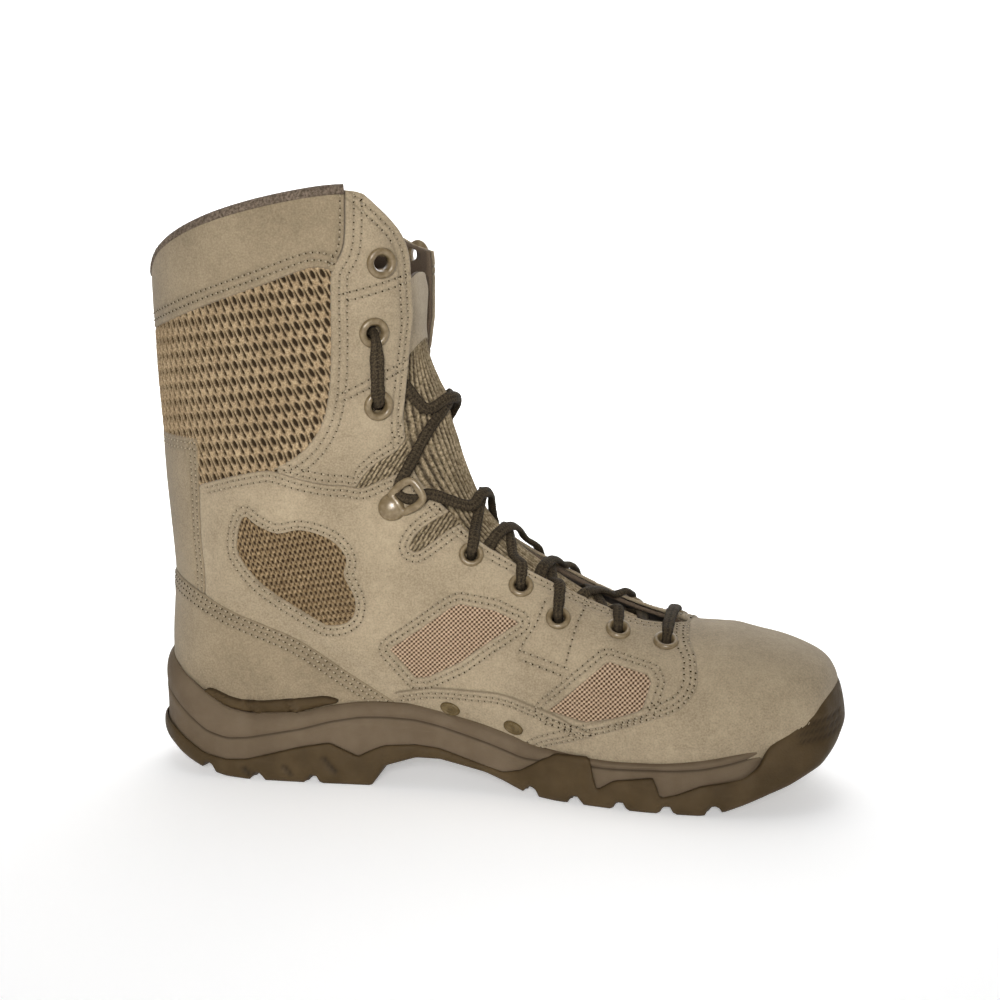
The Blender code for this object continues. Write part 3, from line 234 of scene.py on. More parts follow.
# Side lines of the sole from the heel
SOLE_COLUMNS = ("x", "rim", "crease", "claw", "tread", "core", "thick", "lean")
SOLE_ROWS = np.array((
    (-158, 53, 37, 22, 14, 17, 1.6, 1.6),
    (-147, 48, 33, 20, 11, 15, 1.6, 1.4),
    (-138, 43, 27, 15.5, 7, 11.5, 1.6, 1),
    (-128, 37.7, 20.8, 10.6, 3, 7.6, 1.6, 0.6),
    (-118, 32.3, 18.3, 8.8, 0.6, 6.2, 1.6, 0.4),
    (-108, 30.5, 19.2, 9.7, 0, 6.2, 1.6, 0.4),
    (-82, 32.4, 24.7, 17, 0, 7.5, 1.6, 0.4),
    (-69, 36, 28.6, 19.4, 0, 7.5, 1.6, 0.4),
    (-56, 38.1, 31.1, 13.6, 0, 8, 1.6, 0.4),
    (-50, 38.5, 31.5, 16.8, 0, 10, 1.6, 0.3),
    (-44, 38.6, 31.7, 19.2, 9.5, 15, 1.6, 0.2),
    (-30, 38.3, 31.1, 20.3, 14, 17.3, 1.6, 0.2),
    (-19, 35.9, 28.9, 19.2, 14, 16.6, 1.6, 0.2),
    (2, 30.6, 22.9, 12.6, 9.5, 11.2, 1.6, 0.2),
    (10, 28.2, 20.3, 10.6, 6.5, 8.4, 1.6, 0.2),
    (18, 25.8, 17.6, 12.5, 3, 7, 1.6, 0.2),
    (26, 23.4, 17.2, 17.6, 1, 6.2, 1.6, 0.2),
    (34, 22.4, 18.2, 22.2, 0.2, 6, 1.6, 0.2),
    (49.5, 21.6, 17.6, 22.4, 0, 6, 1.6, 0.2),
    (52, 21.4, 17.4, 7.6, 0, 6, 1.6, 0.2),
    (60, 21.2, 17.6, 13, 0, 6, 1.6, 0.2),
    (78, 22, 18.8, 16.2, 0, 6, 1.6, 0.2),
    (80.5, 22.2, 18.8, 7.2, 0, 6, 1.6, 0.2),
    (88, 23, 19.2, 9.2, 0, 6, 1.6, 0.2),
    (98, 24.5, 20.2, 13.5, 0, 6.2, 1.6, 0.2),
    (108, 26.5, 22.4, 15.4, 2, 8, 1.8, 0.2),
    (116, 28.4, 24.4, 17, 5, 11, 2.4, 0.2),
    (123, 30.2, 26.4, 22, 8, 13.5, 3.6, 0.2),
    (127, 31.3, 27.6, 30.5, 9.8, 15, 4.6, 0.2),
    (135, 33, 29.6, 36, 13, 18, 6, 0.2),
    (148, 35, 32.4, 46.5, 20, 25, 6.6, 0.2),
    (153, 36, 34, 50, 24.5, 29, 6.8, 0.2),
    (156.5, 37.5, 35, 52, 28.5, 31.5, 6.8, 0.2),
    (158, 39, 36.4, 53, 32, 34, 6.8, 0.2),
))


# Small tools


def blend(a: Array, b: Array, c: Array, d: Array, f: Array) -> Array:
    """The smooth curve from b to c at share f, with a before them and d after."""
    return 0.5 * (2 * b + (c - a) * f + (2 * a - 5 * b + 4 * c - d) * f**2 + (3 * b - a - 3 * c + d) * f**3)


def spline(points: Array, steps: int, closed: bool = False) -> Array:
    """A smooth curve through points.

    Args:
        points: Control points, one row each.
        steps: Number of curve points in each span.
        closed: Whether the last point runs on to the first.

    Returns:
        The curve's points.
    """
    points = np.asarray(points, float)
    if closed:
        padded = np.concatenate([points[-1:], points, points[:2]])
    else:
        padded = np.concatenate([2 * points[:1] - points[1:2], points, 2 * points[-1:] - points[-2:-1]])
    a, b, c, d = padded[:-3, None], padded[1:-2, None], padded[2:-1, None], padded[3:, None]
    f = (np.arange(steps) / steps)[None, :, None]
    curve = blend(a, b, c, d, f).reshape(-1, points.shape[1])
    return curve if closed else np.concatenate([curve, points[-1:]])


CROWN = {side: spline(np.column_stack([CROWN_AT, CROWN_UP[side]]), CROWN_STEPS) for side in BOTH}


def run_of(points: Array) -> Array:
    """Length of a polyline up to each of its points."""
    return np.concatenate([[0.0], np.cumsum(np.linalg.norm(np.diff(points, axis=0), axis=1))])


def resample(points: Array, step: float) -> Array:
    """A polyline at even steps of its length.

    Args:
        points: Points of the polyline.
        step: Wanted distance between points.

    Returns:
        The new points, with both ends kept.
    """
    run = run_of(points)
    count = max(2, int(round(run[-1] / step)) + 1)
    where = np.linspace(0, run[-1], count)
    return np.stack([np.interp(where, run, points[:, k]) for k in range(points.shape[1])], 1)


def unit(vectors: Array) -> Array:
    """The vectors at length one."""
    return vectors / np.maximum(np.linalg.norm(vectors, axis=-1, keepdims=True), 1e-12)


def smoothstep(low: float, high: float, value: Array) -> Array:
    """A soft step from 0 at low to 1 at high."""
    t = np.clip((value - low) / (high - low), 0, 1)
    return t * t * (3 - 2 * t)


def bell(gap: Array, wide: float) -> Array:
    """A soft bump that is 1 at no distance and fades over a width."""
    return np.exp(-((gap / wide) ** 2))


def grid_tris(rows: int, columns: int, wrap: bool = False) -> Array:
    """Triangles of a grid of points.

    Args:
        rows: Number of rows.
        columns: Number of points in a row.
        wrap: Whether each row closes on itself.

    Returns:
        Vertex numbers, three to a triangle.
    """
    last = columns if wrap else columns - 1
    i, j = np.meshgrid(np.arange(rows - 1), np.arange(last), indexing="ij")
    k = (j + 1) % columns
    a, b, c, d = i * columns + j, (i + 1) * columns + j, (i + 1) * columns + k, i * columns + k
    return np.concatenate([np.stack([a, b, d], -1).reshape(-1, 3), np.stack([b, c, d], -1).reshape(-1, 3)])


def side_tris(rows: int, columns: int, side: Side) -> Array:
    """Triangles of a grid over one side of the last, facing outward."""
    tris = grid_tris(rows, columns)
    return tris[:, ::-1] if side is Side.MEDIAL else tris


def end_caps(rings: int, size: int) -> Array:
    """Triangles that close the first and the last of a stack of rings."""
    end = (rings - 1) * size
    caps = [(0, k + 1, k) for k in range(1, size - 1)]
    return np.array(caps + [(end, end + k, end + k + 1) for k in range(1, size - 1)])


def repeated(tris: Array, count: int, size: int) -> Array:
    """Triangles of a count of like parts that have a size of points each."""
    return (tris[None] + (np.arange(count) * size)[:, None, None]).reshape(-1, 3)


def proper(tris: Array) -> Array:
    """The triangles that have three different corners."""
    a, b, c = tris.T
    return tris[(a != b) & (b != c) & (c != a)]


def mesh_object(name: str, points: Array, tris: Array, finishes: list[Material],
                index: Array | None = None, fields: dict[str, Array] | None = None) -> Piece:
    """A smooth-shaded object from triangles in millimetres.

    Args:
        name: Name of the piece.
        points: Vertex places in millimetres.
        tris: Vertex numbers of the triangles.
        finishes: Materials of the piece.
        index: Material number of each triangle.
        fields: Float values for each vertex, by attribute name.

    Returns:
        The object, in the scene.
    """
    mesh = bpy.data.meshes.new(name)
    mesh.vertices.add(len(points))
    mesh.vertices.foreach_set("co", (points * MM).astype(np.float32).ravel())
    mesh.loops.add(tris.size)
    mesh.loops.foreach_set("vertex_index", tris.astype(np.int32).ravel())
    mesh.polygons.add(len(tris))
    mesh.polygons.foreach_set("loop_start", np.arange(0, tris.size, 3, dtype=np.int32))
    mesh.polygons.foreach_set("use_smooth", np.ones(len(tris), bool))
    for finish in finishes:
        mesh.materials.append(finish)
    if index is not None:
        mesh.polygons.foreach_set("material_index", index.astype(np.int32))
    for word, values in (fields or {}).items():
        mesh.attributes.new(word, "FLOAT", "POINT").data.foreach_set("value", values.astype(np.float32))
    mesh.update(calc_edges=True)
    mesh.validate()
    obj = bpy.data.objects.new(name, mesh)
    bpy.context.scene.collection.objects.link(obj)
    return obj


def dress(obj: Piece, slot: Slot, *nodes: str) -> Piece:
    """Puts a piece on the body, hides the nodes that it stands for, and logs it."""
    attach(obj, BODY)
    if nodes:
        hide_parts(*nodes)
    LOG.info("%s: %d triangles", obj.name, len(obj.data.polygons))
    return obj


def ring_mesh(rings: Array, wrap_rings: bool = False) -> Arrays:
    """Points and triangles of a stack of closed rings.

    Args:
        rings: Array of rings, points and axes.
        wrap_rings: Whether the last ring joins the first.

    Returns:
        Points and triangles.
    """
    if wrap_rings:
        rings = np.concatenate([rings, rings[:1]])
    count, size = rings.shape[:2]
    return rings.reshape(-1, 3), grid_tris(count, size, True)


def weld(points: Array, tris: Array, decimals: int) -> Arrays:
    """Joins vertices that share a place and drops triangles that collapse.

    Args:
        points: Vertex places.
        tris: Triangles.
        decimals: Decimals of a millimetre that count.

    Returns:
        Welded points and triangles.
    """
    _, first, index = np.unique(np.round(points, decimals), axis=0, return_index=True, return_inverse=True)
    return points[first], proper(index.reshape(-1)[tris])


# Finishes


class Nodes:
    """A material's node tree, with short words for the nodes that the finishes share."""

    def __init__(self, name: str) -> None:
        """Starts a material with one Principled shader."""
        self.material = bpy.data.materials.new(name)
        self.material.use_nodes = True
        self.tree = self.material.node_tree
        self.shader = self.tree.nodes["Principled BSDF"]
        coords = self.tree.nodes.new("ShaderNodeTexCoord")
        self.place = coords.outputs["Object"]

    def set(self, **values: float) -> None:
        """Sets constant values on the shader's own sockets."""
        for word, value in values.items():
            self.shader.inputs[word.replace("_", " ").title().replace("Ior", "IOR")].default_value = value

    def noise(self, scale: float, detail: float = 3.0, stretch: Triple | None = None) -> Socket:
        """Noise in the boot's own frame, optionally stretched along an axis."""
        node = self.tree.nodes.new("ShaderNodeTexNoise")
        node.inputs["Scale"].default_value = scale
        node.inputs["Detail"].default_value = detail
        source = self.place
        if stretch:
            turn = self.tree.nodes.new("ShaderNodeMapping")
            turn.inputs["Scale"].default_value = stretch
            self.tree.links.new(source, turn.inputs["Vector"])
            source = turn.outputs["Vector"]
        self.tree.links.new(source, node.inputs["Vector"])
        return node.outputs["Fac"]

    def field(self, word: str) -> Socket:
        """A float attribute of the mesh."""
        node = self.tree.nodes.new("ShaderNodeAttribute")
        node.attribute_name = word
        return node.outputs["Fac"]

    def ramp(self, source: Socket, low: float, high: float, bottom: float = 0.0, top: float = 1.0) -> Socket:
        """A clamped linear step of a value."""
        node = self.tree.nodes.new("ShaderNodeMapRange")
        for word, value in (("From Min", low), ("From Max", high), ("To Min", bottom), ("To Max", top)):
            node.inputs[word].default_value = value
        self.tree.links.new(source, node.inputs["Value"])
        return node.outputs["Result"]

    def mix(self, share: Socket, first: object, second: object) -> Socket:
        """A blend of two colours, each a colour or a socket."""
        node = self.tree.nodes.new("ShaderNodeMix")
        node.data_type = "RGBA"
        self.tree.links.new(share, node.inputs[0])
        for slot, value in ((6, first), (7, second)):
            if isinstance(value, tuple):
                node.inputs[slot].default_value = (*value, 1.0)
            else:
                self.tree.links.new(value, node.inputs[slot])
        return node.outputs[2]

    def math(self, operation: str, first: Socket, second: object) -> Socket:
        """One Math node on a socket and a socket or number."""
        node = self.tree.nodes.new("ShaderNodeMath")
        node.operation = operation
        self.tree.links.new(first, node.inputs[0])
        if isinstance(second, (int, float)):
            node.inputs[1].default_value = second
        else:
            self.tree.links.new(second, node.inputs[1])
        return node.outputs[0]

    def colour(self, source: Socket) -> None:
        """Feeds the base colour."""
        self.tree.links.new(source, self.shader.inputs["Base Color"])

    def roughness(self, source: Socket) -> None:
        """Feeds the roughness."""
        self.tree.links.new(source, self.shader.inputs["Roughness"])

    def bump(self, *layers: tuple[Socket, float]) -> None:
        """Stacks bump layers of a height socket and a depth in millimetres."""
        below = None
        for source, depth in layers:
            node = self.tree.nodes.new("ShaderNodeBump")
            node.inputs["Distance"].default_value = depth * MM
            self.tree.links.new(source, node.inputs["Height"])
            if below:
                self.tree.links.new(below, node.inputs["Normal"])
            below = node.outputs["Normal"]
        self.tree.links.new(below, self.shader.inputs["Normal"])


@dataclass(frozen=True)
class SuedeFinish:
    """Napped suede with brushed patches, dusty highs and painted shade at its edges, steps and stitch rows.
    """

    name: str = "suede"
    pale: Colour = (0.398, 0.320, 0.212)
    deep: Colour = (0.196, 0.151, 0.094)
    # Colour of the painted shade along overlay edges, under steps and in stitch-row troughs.
    seam: Colour = (0.105, 0.080, 0.050)
    roughness: float = 0.94
    patch_scale: float = 34.0
    brush_scale: float = 300.0
    speck_scale: float = 1250.0
    nap_scale: float = 2000.0
    nap_deep: float = 0.26
    grain_scale: float = 420.0
    grain_deep: float = 0.22

    def material(self) -> Material:
        """Builds the material."""
        nodes = Nodes(self.name)
        patch = nodes.ramp(nodes.noise(self.patch_scale, 4.0), 0.34, 0.68)
        speck = nodes.ramp(nodes.noise(self.speck_scale), 0.28, 0.72, 0.0, 1.5)
        brushed = nodes.ramp(nodes.noise(self.brush_scale), 0.35, 0.70, 0.0, 0.5)
        share = nodes.math("MULTIPLY", nodes.math("ADD", patch, nodes.math("ADD", speck, brushed)), 0.36)
        base = nodes.mix(share, self.deep, self.pale)
        # The seam attribute mixes in painted shade where edges, steps and stitch rows sink.
        nodes.colour(nodes.mix(nodes.field("seam"), base, self.seam))
        nodes.set(roughness=self.roughness, specular_ior_level=0.15, sheen_weight=0.10, sheen_roughness=0.6)
        nap = nodes.noise(self.nap_scale, 2.0)
        nodes.bump((nap, self.nap_deep), (nodes.noise(self.grain_scale), self.grain_deep))
        return nodes.material


@dataclass(frozen=True)
class FabricFinish:
    """A textile whose holes and yarns come from the mesh, with fine yarn bump; its hole colour is painted
    shade.
    """

    name: str
    yarn: Colour
    light: Colour
    # Colour of the painted shade in holes, gaps, slits and hollows.
    hole: Colour
    roughness: float = 0.85
    yarn_scale: float = 2200.0
    sheen: float = 0.04
    yarn_deep: float = 0.12
    fibre_scale: float = 5200.0
    fibre_deep: float = 0.06
    patch_scale: float = 60.0

    def material(self) -> Material:
        """Builds the material."""
        nodes = Nodes(self.name)
        tone = nodes.ramp(nodes.noise(self.yarn_scale, 2.0), 0.32, 0.70)
        patch = nodes.ramp(nodes.noise(self.patch_scale), 0.35, 0.65, 0.0, 0.35)
        base = nodes.mix(tone, self.yarn, self.light)
        base = nodes.mix(patch, base, self.yarn)
        # The hole attribute mixes in painted shade: holes, gaps between yarns, slits and hollows.
        nodes.colour(nodes.mix(nodes.field("hole"), base, self.hole))
        nodes.set(roughness=self.roughness, specular_ior_level=0.15, sheen_weight=self.sheen)
        yarn = nodes.noise(self.yarn_scale, 2.0)
        nodes.bump((yarn, self.yarn_deep), (nodes.noise(self.fibre_scale, 2.0), self.fibre_deep))
        return nodes.material


@dataclass(frozen=True)
class RubberFinish:
    """Moulded rubber or foam with a fine matte grain, scuffs, dust and painted shade in its grooves, slits,
    creases and edges.
    """

    name: str
    base: Colour
    worn: Colour
    # Colour of the painted shade in grooves, slits, creases and edges.
    painted_shade: Colour
    roughness: float
    grain: float
    grain_deep: float = 0.16
    rough_change: float = 0.08
    patch_scale: float = 70.0
    scuff_scale: float = 260.0
    scuff_stretch: Triple = (0.3, 1.0, 1.8)
    scuff_share: float = 0.35
    dent_scale: float = 700.0
    dent_deep: float = 0.12

    def material(self) -> Material:
        """Builds the material."""
        nodes = Nodes(self.name)
        patch = nodes.ramp(nodes.noise(self.patch_scale, 5.0), 0.38, 0.72)
        scuff = nodes.ramp(nodes.noise(self.scuff_scale, 4.0, self.scuff_stretch), 0.58, 0.74)
        base = nodes.mix(patch, self.base, self.worn)
        base = nodes.mix(nodes.math("MULTIPLY", scuff, self.scuff_share), base, self.worn)
        # The seam attribute mixes in that painted shade.
        nodes.colour(nodes.mix(nodes.field("seam"), base, self.painted_shade))
        matte, gloss = self.roughness + self.rough_change, self.roughness - self.rough_change
        nodes.roughness(nodes.ramp(nodes.noise(180.0), 0.3, 0.7, gloss, matte))
        nodes.set(specular_ior_level=0.20)
        grain = nodes.noise(self.grain, 2.0)
        nodes.bump((grain, self.grain_deep), (nodes.noise(self.dent_scale), self.dent_deep))
        return nodes.material


@dataclass(frozen=True)
class HardwareFinish:
    """Bronze-tan coated metal with a soft gloss."""

    name: str = "bronze_coat"
    base: Colour = (0.150, 0.106, 0.053)
    worn: Colour = (0.220, 0.165, 0.093)
    coat: float = 0.35
    tone_scale: float = 420.0
    grain_scale: float = 900.0
    grain_deep: float = 0.03

    def material(self) -> Material:
        """Builds the material."""
        nodes = Nodes(self.name)
        tone = nodes.ramp(nodes.noise(self.tone_scale, 4.0), 0.40, 0.66)
        nodes.colour(nodes.mix(tone, self.base, self.worn))
        nodes.roughness(nodes.ramp(nodes.noise(self.grain_scale), 0.3, 0.7, 0.26, 0.42))
        nodes.set(metallic=0.10, specular_ior_level=self.coat, coat_weight=self.coat, coat_roughness=0.20)
        nodes.bump((nodes.noise(self.grain_scale, 2.0), self.grain_deep))
        return nodes.material


@dataclass(frozen=True)
class ThreadFinish:
    """Twisted sewing thread."""

    name: str
    base: Colour
    light: Colour
    sheen: float = 0.2
    tone_scale: float = 1800.0
    twist_scale: float = 3600.0
    twist_stretch: Triple = (1.0, 1.0, 2.5)
    twist_deep: float = 0.08

    def material(self) -> Material:
        """Builds the material."""
        nodes = Nodes(self.name)
        tone = nodes.ramp(nodes.noise(self.tone_scale, 2.0), 0.35, 0.66)
        nodes.colour(nodes.mix(tone, self.base, self.light))
        nodes.set(roughness=0.7, specular_ior_level=self.sheen, sheen_weight=self.sheen)
        nodes.bump((nodes.noise(self.twist_scale, 1.0, self.twist_stretch), self.twist_deep))
        return nodes.material


class Finishes:
    """All materials of the boot, made once."""

    def __init__(self) -> None:
        """Makes each finish under the name of what wears it."""
        self.suede = SuedeFinish().material()
        # A darker copy of the suede: painted shade for the rear and top overlays, where the light falls off.
        self.suede_shaded = SuedeFinish(
            "suede_shaded", (0.325, 0.256, 0.163), (0.164, 0.124, 0.075), (0.085, 0.063, 0.038)).material()
        # The third colour of each textile is the painted shade of its holes and hollows.
        self.shaft_mesh = FabricFinish(
            "spacer_mesh", (0.215, 0.146, 0.078), (0.470, 0.352, 0.210), (0.026, 0.015, 0.006),
            0.85, 1300.0).material()
        self.ankle_mesh = FabricFinish(
            "knit_mesh", (0.150, 0.095, 0.044), (0.380, 0.270, 0.148), (0.020, 0.011, 0.005),
            0.85, 900.0).material()
        self.weave = FabricFinish(
            "nylon_weave", (0.410, 0.286, 0.184), (0.560, 0.412, 0.280), (0.060, 0.032, 0.016),
            0.7).material()
        self.ribbed = FabricFinish(
            "ribbed_mesh", (0.105, 0.076, 0.040), (0.420, 0.328, 0.205), (0.010, 0.006, 0.003),
            0.85, 800.0).material()
        self.lining = FabricFinish(
            "lining", (0.085, 0.060, 0.040), (0.130, 0.095, 0.065), (0.030, 0.022, 0.015)).material()
        self.binding = FabricFinish(
            "binding_tape", (0.062, 0.045, 0.031), (0.215, 0.164, 0.120), (0.040, 0.028, 0.020),
            0.85, 900.0).material()
        self.insole = FabricFinish(
            "insole_cloth", (0.060, 0.048, 0.036), (0.100, 0.080, 0.060), (0.02, 0.016, 0.012)).material()
        # The third colour of each sole finish is painted shade for its grooves, slits, creases and edges.
        self.midsole = RubberFinish(
            "midsole_foam", (0.118, 0.084, 0.051), (0.148, 0.108, 0.068), (0.040, 0.027, 0.015),
            0.78, 2400.0).material()
        self.outsole = RubberFinish(
            "outsole_rubber", (0.055, 0.034, 0.0125), (0.080, 0.051, 0.0215), (0.015, 0.009, 0.004),
            0.66, 1100.0).material()
        self.hardware = HardwareFinish().material()
        self.vent = HardwareFinish(
            "vent_coat", (0.088, 0.060, 0.025), (0.135, 0.096, 0.045), 0.08).material()
        self.lace = FabricFinish(
            "braided_lace", (0.020, 0.014, 0.0075), (0.082, 0.060, 0.034), (0.005, 0.003, 0.002),
            0.85, 1500.0, 0.0).material()
        self.thread = ThreadFinish(
            "thread_tan", (0.270, 0.214, 0.135), (0.430, 0.352, 0.235)).material()
        # Needle holes are dark marks of painted shade.
        self.needle_shade = ThreadFinish(
            "needle_hole_shade", (0.016, 0.010, 0.005), (0.034, 0.023, 0.012), 0.0).material()


# The last and sheets on it


class Last:
    """The form that the upper is drawn over: girth 0 is its base line and 1 its ridge."""

    def along(self, column: str, section: Array) -> Array:
        """A column of the section table as a smooth curve over the sections, toe to collar."""
        values = SECTIONS[:, SECTION_COLUMNS.index(column)]
        before = -values[1] if column == "wide_half" else values[1]
        values = np.concatenate([[before], values, [2 * values[-1] - values[-2]]])
        section = np.clip(np.asarray(section, float), 0, LAST_SECTION)
        i = np.clip(np.floor(section).astype(int), 0, len(SECTIONS) - 2)
        f = section - i
        return blend(values[i], values[i + 1], values[i + 2], values[i + 3], f)

    def split(self, section: Array) -> Array:
        """The girth number at the widest place of a section."""
        return SPLIT_GIRTH * np.clip(self.along("wide_at", section) / SPLIT_AT, *SPLIT_RANGE)

    def throat(self, section: Array) -> Array:
        """Half of the throat opening, which starts round above the vamp."""
        section = np.asarray(section, float)
        start = np.sqrt(np.clip((section - THROAT_START) / THROAT_ROUND, 0, 1))
        return np.maximum(self.along("gap", section), 0) * start

    def girth_at(self, section: Array, half: Array) -> Array:
        """The girth number on the top arc where the section is this far from its middle."""
        wide = np.maximum(self.along("wide_half", section), 1e-6)
        split = self.split(section)
        turn = np.arccos(np.clip(half / wide, 0, 1) ** (self.along("round_top", section) / 2))
        return split + (1 - split) * turn / (np.pi / 2)

    def edge(self, section: Array) -> Array:
        """The girth number of the throat edge."""
        return self.girth_at(section, self.throat(section))

    def bare(self, section: Array, girth: Array, side: Side, crowned: bool = True) -> Array:
        """Points of the last.

        Args:
            section: Section numbers, toe to collar.
            girth: Girth numbers, base to ridge.
            side: Which side.
            crowned: Whether the collar's rise is added.

        Returns:
            Points in millimetres.
        """
        split = self.split(section)
        share = np.clip(self.along("base_share", section), 0, BASE_SHARE_LIMIT)
        at = self.along("wide_at", section)
        power = 2 / self.along("round_top", section)
        start = np.arcsin(share)
        low = start + (np.pi / 2 - start) * np.clip(girth / split, 0, 1)
        high = np.clip((girth - split) / (1 - split), 0, 1) * np.pi / 2
        below = girth < split
        rise_low = at * (np.cos(start) - np.cos(low)) / np.cos(start)
        rise = np.where(below, rise_low, at + (1 - at) * np.sin(high) ** power)
        half = np.where(below, np.sin(low), np.maximum(np.cos(high), 0) ** power)
        half = half * self.along("wide_half", section)
        axes = []
        for axis in "xyz":
            base = self.along("base_" + axis, section)
            axes.append(base + (self.along("ridge_" + axis, section) - base) * rise)
        axes[1] = axes[1] + side.value * half
        if crowned:
            crown = np.clip(self.along("crown", section), 0, 2)
            axes[2] = axes[2] + crown * np.interp(rise, CROWN[side][:, 0], CROWN[side][:, 1])
        return np.stack(axes, -1)

    def surface(self, section: Array, girth: Array, side: Side, crowned: bool = True) -> Arrays:
        """Points of the last and its outward normals there."""
        section, girth = np.broadcast_arrays(np.asarray(section, float), np.asarray(girth, float))
        step = SURFACE_STEP
        inner = np.where(section < TIP_SECTIONS, np.minimum(girth, TIP_GIRTH), girth)
        forward = self.bare(np.minimum(section + step, LAST_SECTION), inner, side, crowned)
        back = self.bare(np.maximum(section - step, 0), inner, side, crowned)
        over = self.bare(section, np.minimum(inner + step, 1), side, crowned)
        under = self.bare(section, np.maximum(inner - step, 0), side, crowned)
        normal = unit(np.cross(forward - back, over - under) * side.value)
        return self.bare(section, girth, side, crowned), normal


LAST = Last()


def nearest(places: Array, starts: Array, ends: Array) -> tuple[Array, Array, Array]:
    """The nearest of a row of segments to each side-view place.

    Args:
        places: Places, one row each.
        starts: First points of the segments.
        ends: Last points of the segments.

    Returns:
        Distances, numbers of the nearest segments, and the places' shares along them, not held to 0 to 1.
    """
    best = np.full(len(places), FAR)
    number = np.zeros(len(places), int)
    share = np.zeros(len(places))
    for k, (a, b) in enumerate(zip(starts, ends)):
        way = b - a
        t = ((places - a) @ way) / max(way @ way, 1e-12)
        t_in = np.clip(t, 0, 1)
        gap = np.hypot(places[:, 0] - a[0] - way[0] * t_in, places[:, 1] - a[1] - way[1] * t_in)
        nearer = gap < best
        best = np.where(nearer, gap, best)
        number = np.where(nearer, k, number)
        share = np.where(nearer, t, share)
    return best, number, share


@dataclass(frozen=True)
class Curve:
    """A line in the side view, as (x, z)."""

    points: Array
    closed: bool

    def distance(self, places: Array) -> Arrays:
        """Distance of places to the curve.

        Args:
            places: Side-view places, one row each.

        Returns:
            The distances, on an open curve positive to the right of its run, and whether the nearest spot is
            short of the curve's two ends.
        """
        ends = np.roll(self.points, -1, axis=0) if self.closed else self.points[1:]
        starts = self.points if self.closed else self.points[:-1]
        best, number, share = nearest(places, starts, ends)
        if self.closed:
            return best, np.ones(len(places), bool)
        way, off = (ends - starts)[number], places - starts[number]
        right = way[:, 1] * off[:, 0] - way[:, 0] * off[:, 1]
        past = ((number == 0) & (share < 0)) | ((number == len(starts) - 1) & (share > 1))
        return np.where(right < 0, -best, best), ~past

    def inside(self, places: Array) -> Array:
        """Whether places lie in the closed curve."""
        found = np.zeros(len(places), bool)
        for a, b in zip(self.points, np.roll(self.points, -1, axis=0)):
            if a[1] == b[1]:
                continue
            crosses = (a[1] > places[:, 1]) != (b[1] > places[:, 1])
            at = a[0] + (places[:, 1] - a[1]) * (b[0] - a[0]) / (b[1] - a[1])
            found ^= crosses & (places[:, 0] < at)
        return found


def seam_curve(name: str) -> Curve:
    """A named seam as a smooth curve; the woven windows keep firm corners."""
    if name not in CLOSED_SEAMS:
        return Curve(spline(np.array(SEAMS[name]), SEAM_STEPS), False)
    points = np.array(CLOSED_SEAMS[name])
    if name.startswith("weave"):
        way = np.roll(points, -1, axis=0) - points
        points = np.stack([points + way * share for share in CORNER_SHARES], 1).reshape(-1, 2)
    return Curve(spline(points, WINDOW_STEPS, True), True)


@dataclass(frozen=True)
class Crease:
    """A soft trough or ridge in the upper, by a side-view line, half width and height."""

    line: Pairs
    wide: float
    high: float
    sides: tuple[Side, ...] = BOTH
    end_share: float = 0.25

    def lift(self, places: Array, side: Side) -> Array:
        """Height that the crease adds at side-view places."""
        if side not in self.sides:
            return np.zeros(len(places))
        curve = spline(np.array(self.line), CREASE_STEPS)
        gap, number, share = nearest(places, curve[:-1], curve[1:])
        share = (number + np.clip(share, 0, 1)) / (len(curve) - 1)
        taper = smoothstep(0.0, self.end_share, share) * smoothstep(0.0, self.end_share, 1 - share)
        return self.high * bell(gap, self.wide) * taper


CREASES = (
    Crease(((98, 70), (97, 58), (90, 44), (84, 34)), 5, -0.8),
    Crease(((108, 72), (107, 62), (101, 48)), 5.5, 0.6),
    Crease(((118, 70), (117, 60), (110, 46)), 6, -0.5),
    Crease(((-122, 96), (-98, 84), (-74, 71), (-52, 58), (-36, 46)), 4.5, 1),
    Crease(((-58, 124), (-44, 116), (-36, 104), (-30, 92)), 6, -0.9),
    Crease(((-66, 126), (-54, 112), (-46, 96)), 6, 0.8),
    Crease(((-128, 128), (-112, 126), (-96, 128)), 5, -0.7),
    Crease(((-130, 108), (-116, 106), (-108, 100)), 6, 0.6),
    Crease(((26, 52), (34, 40), (40, 31)), 4, -0.7),
    Crease(((14, 60), (22, 46), (26, 34)), 5, 0.6),
    Crease(((-56, 160), (-48, 158), (-40, 160)), 4, -0.5),
    Crease(((-50, 246), (-46, 243), (-40, 241)), 4, 0.5),
)


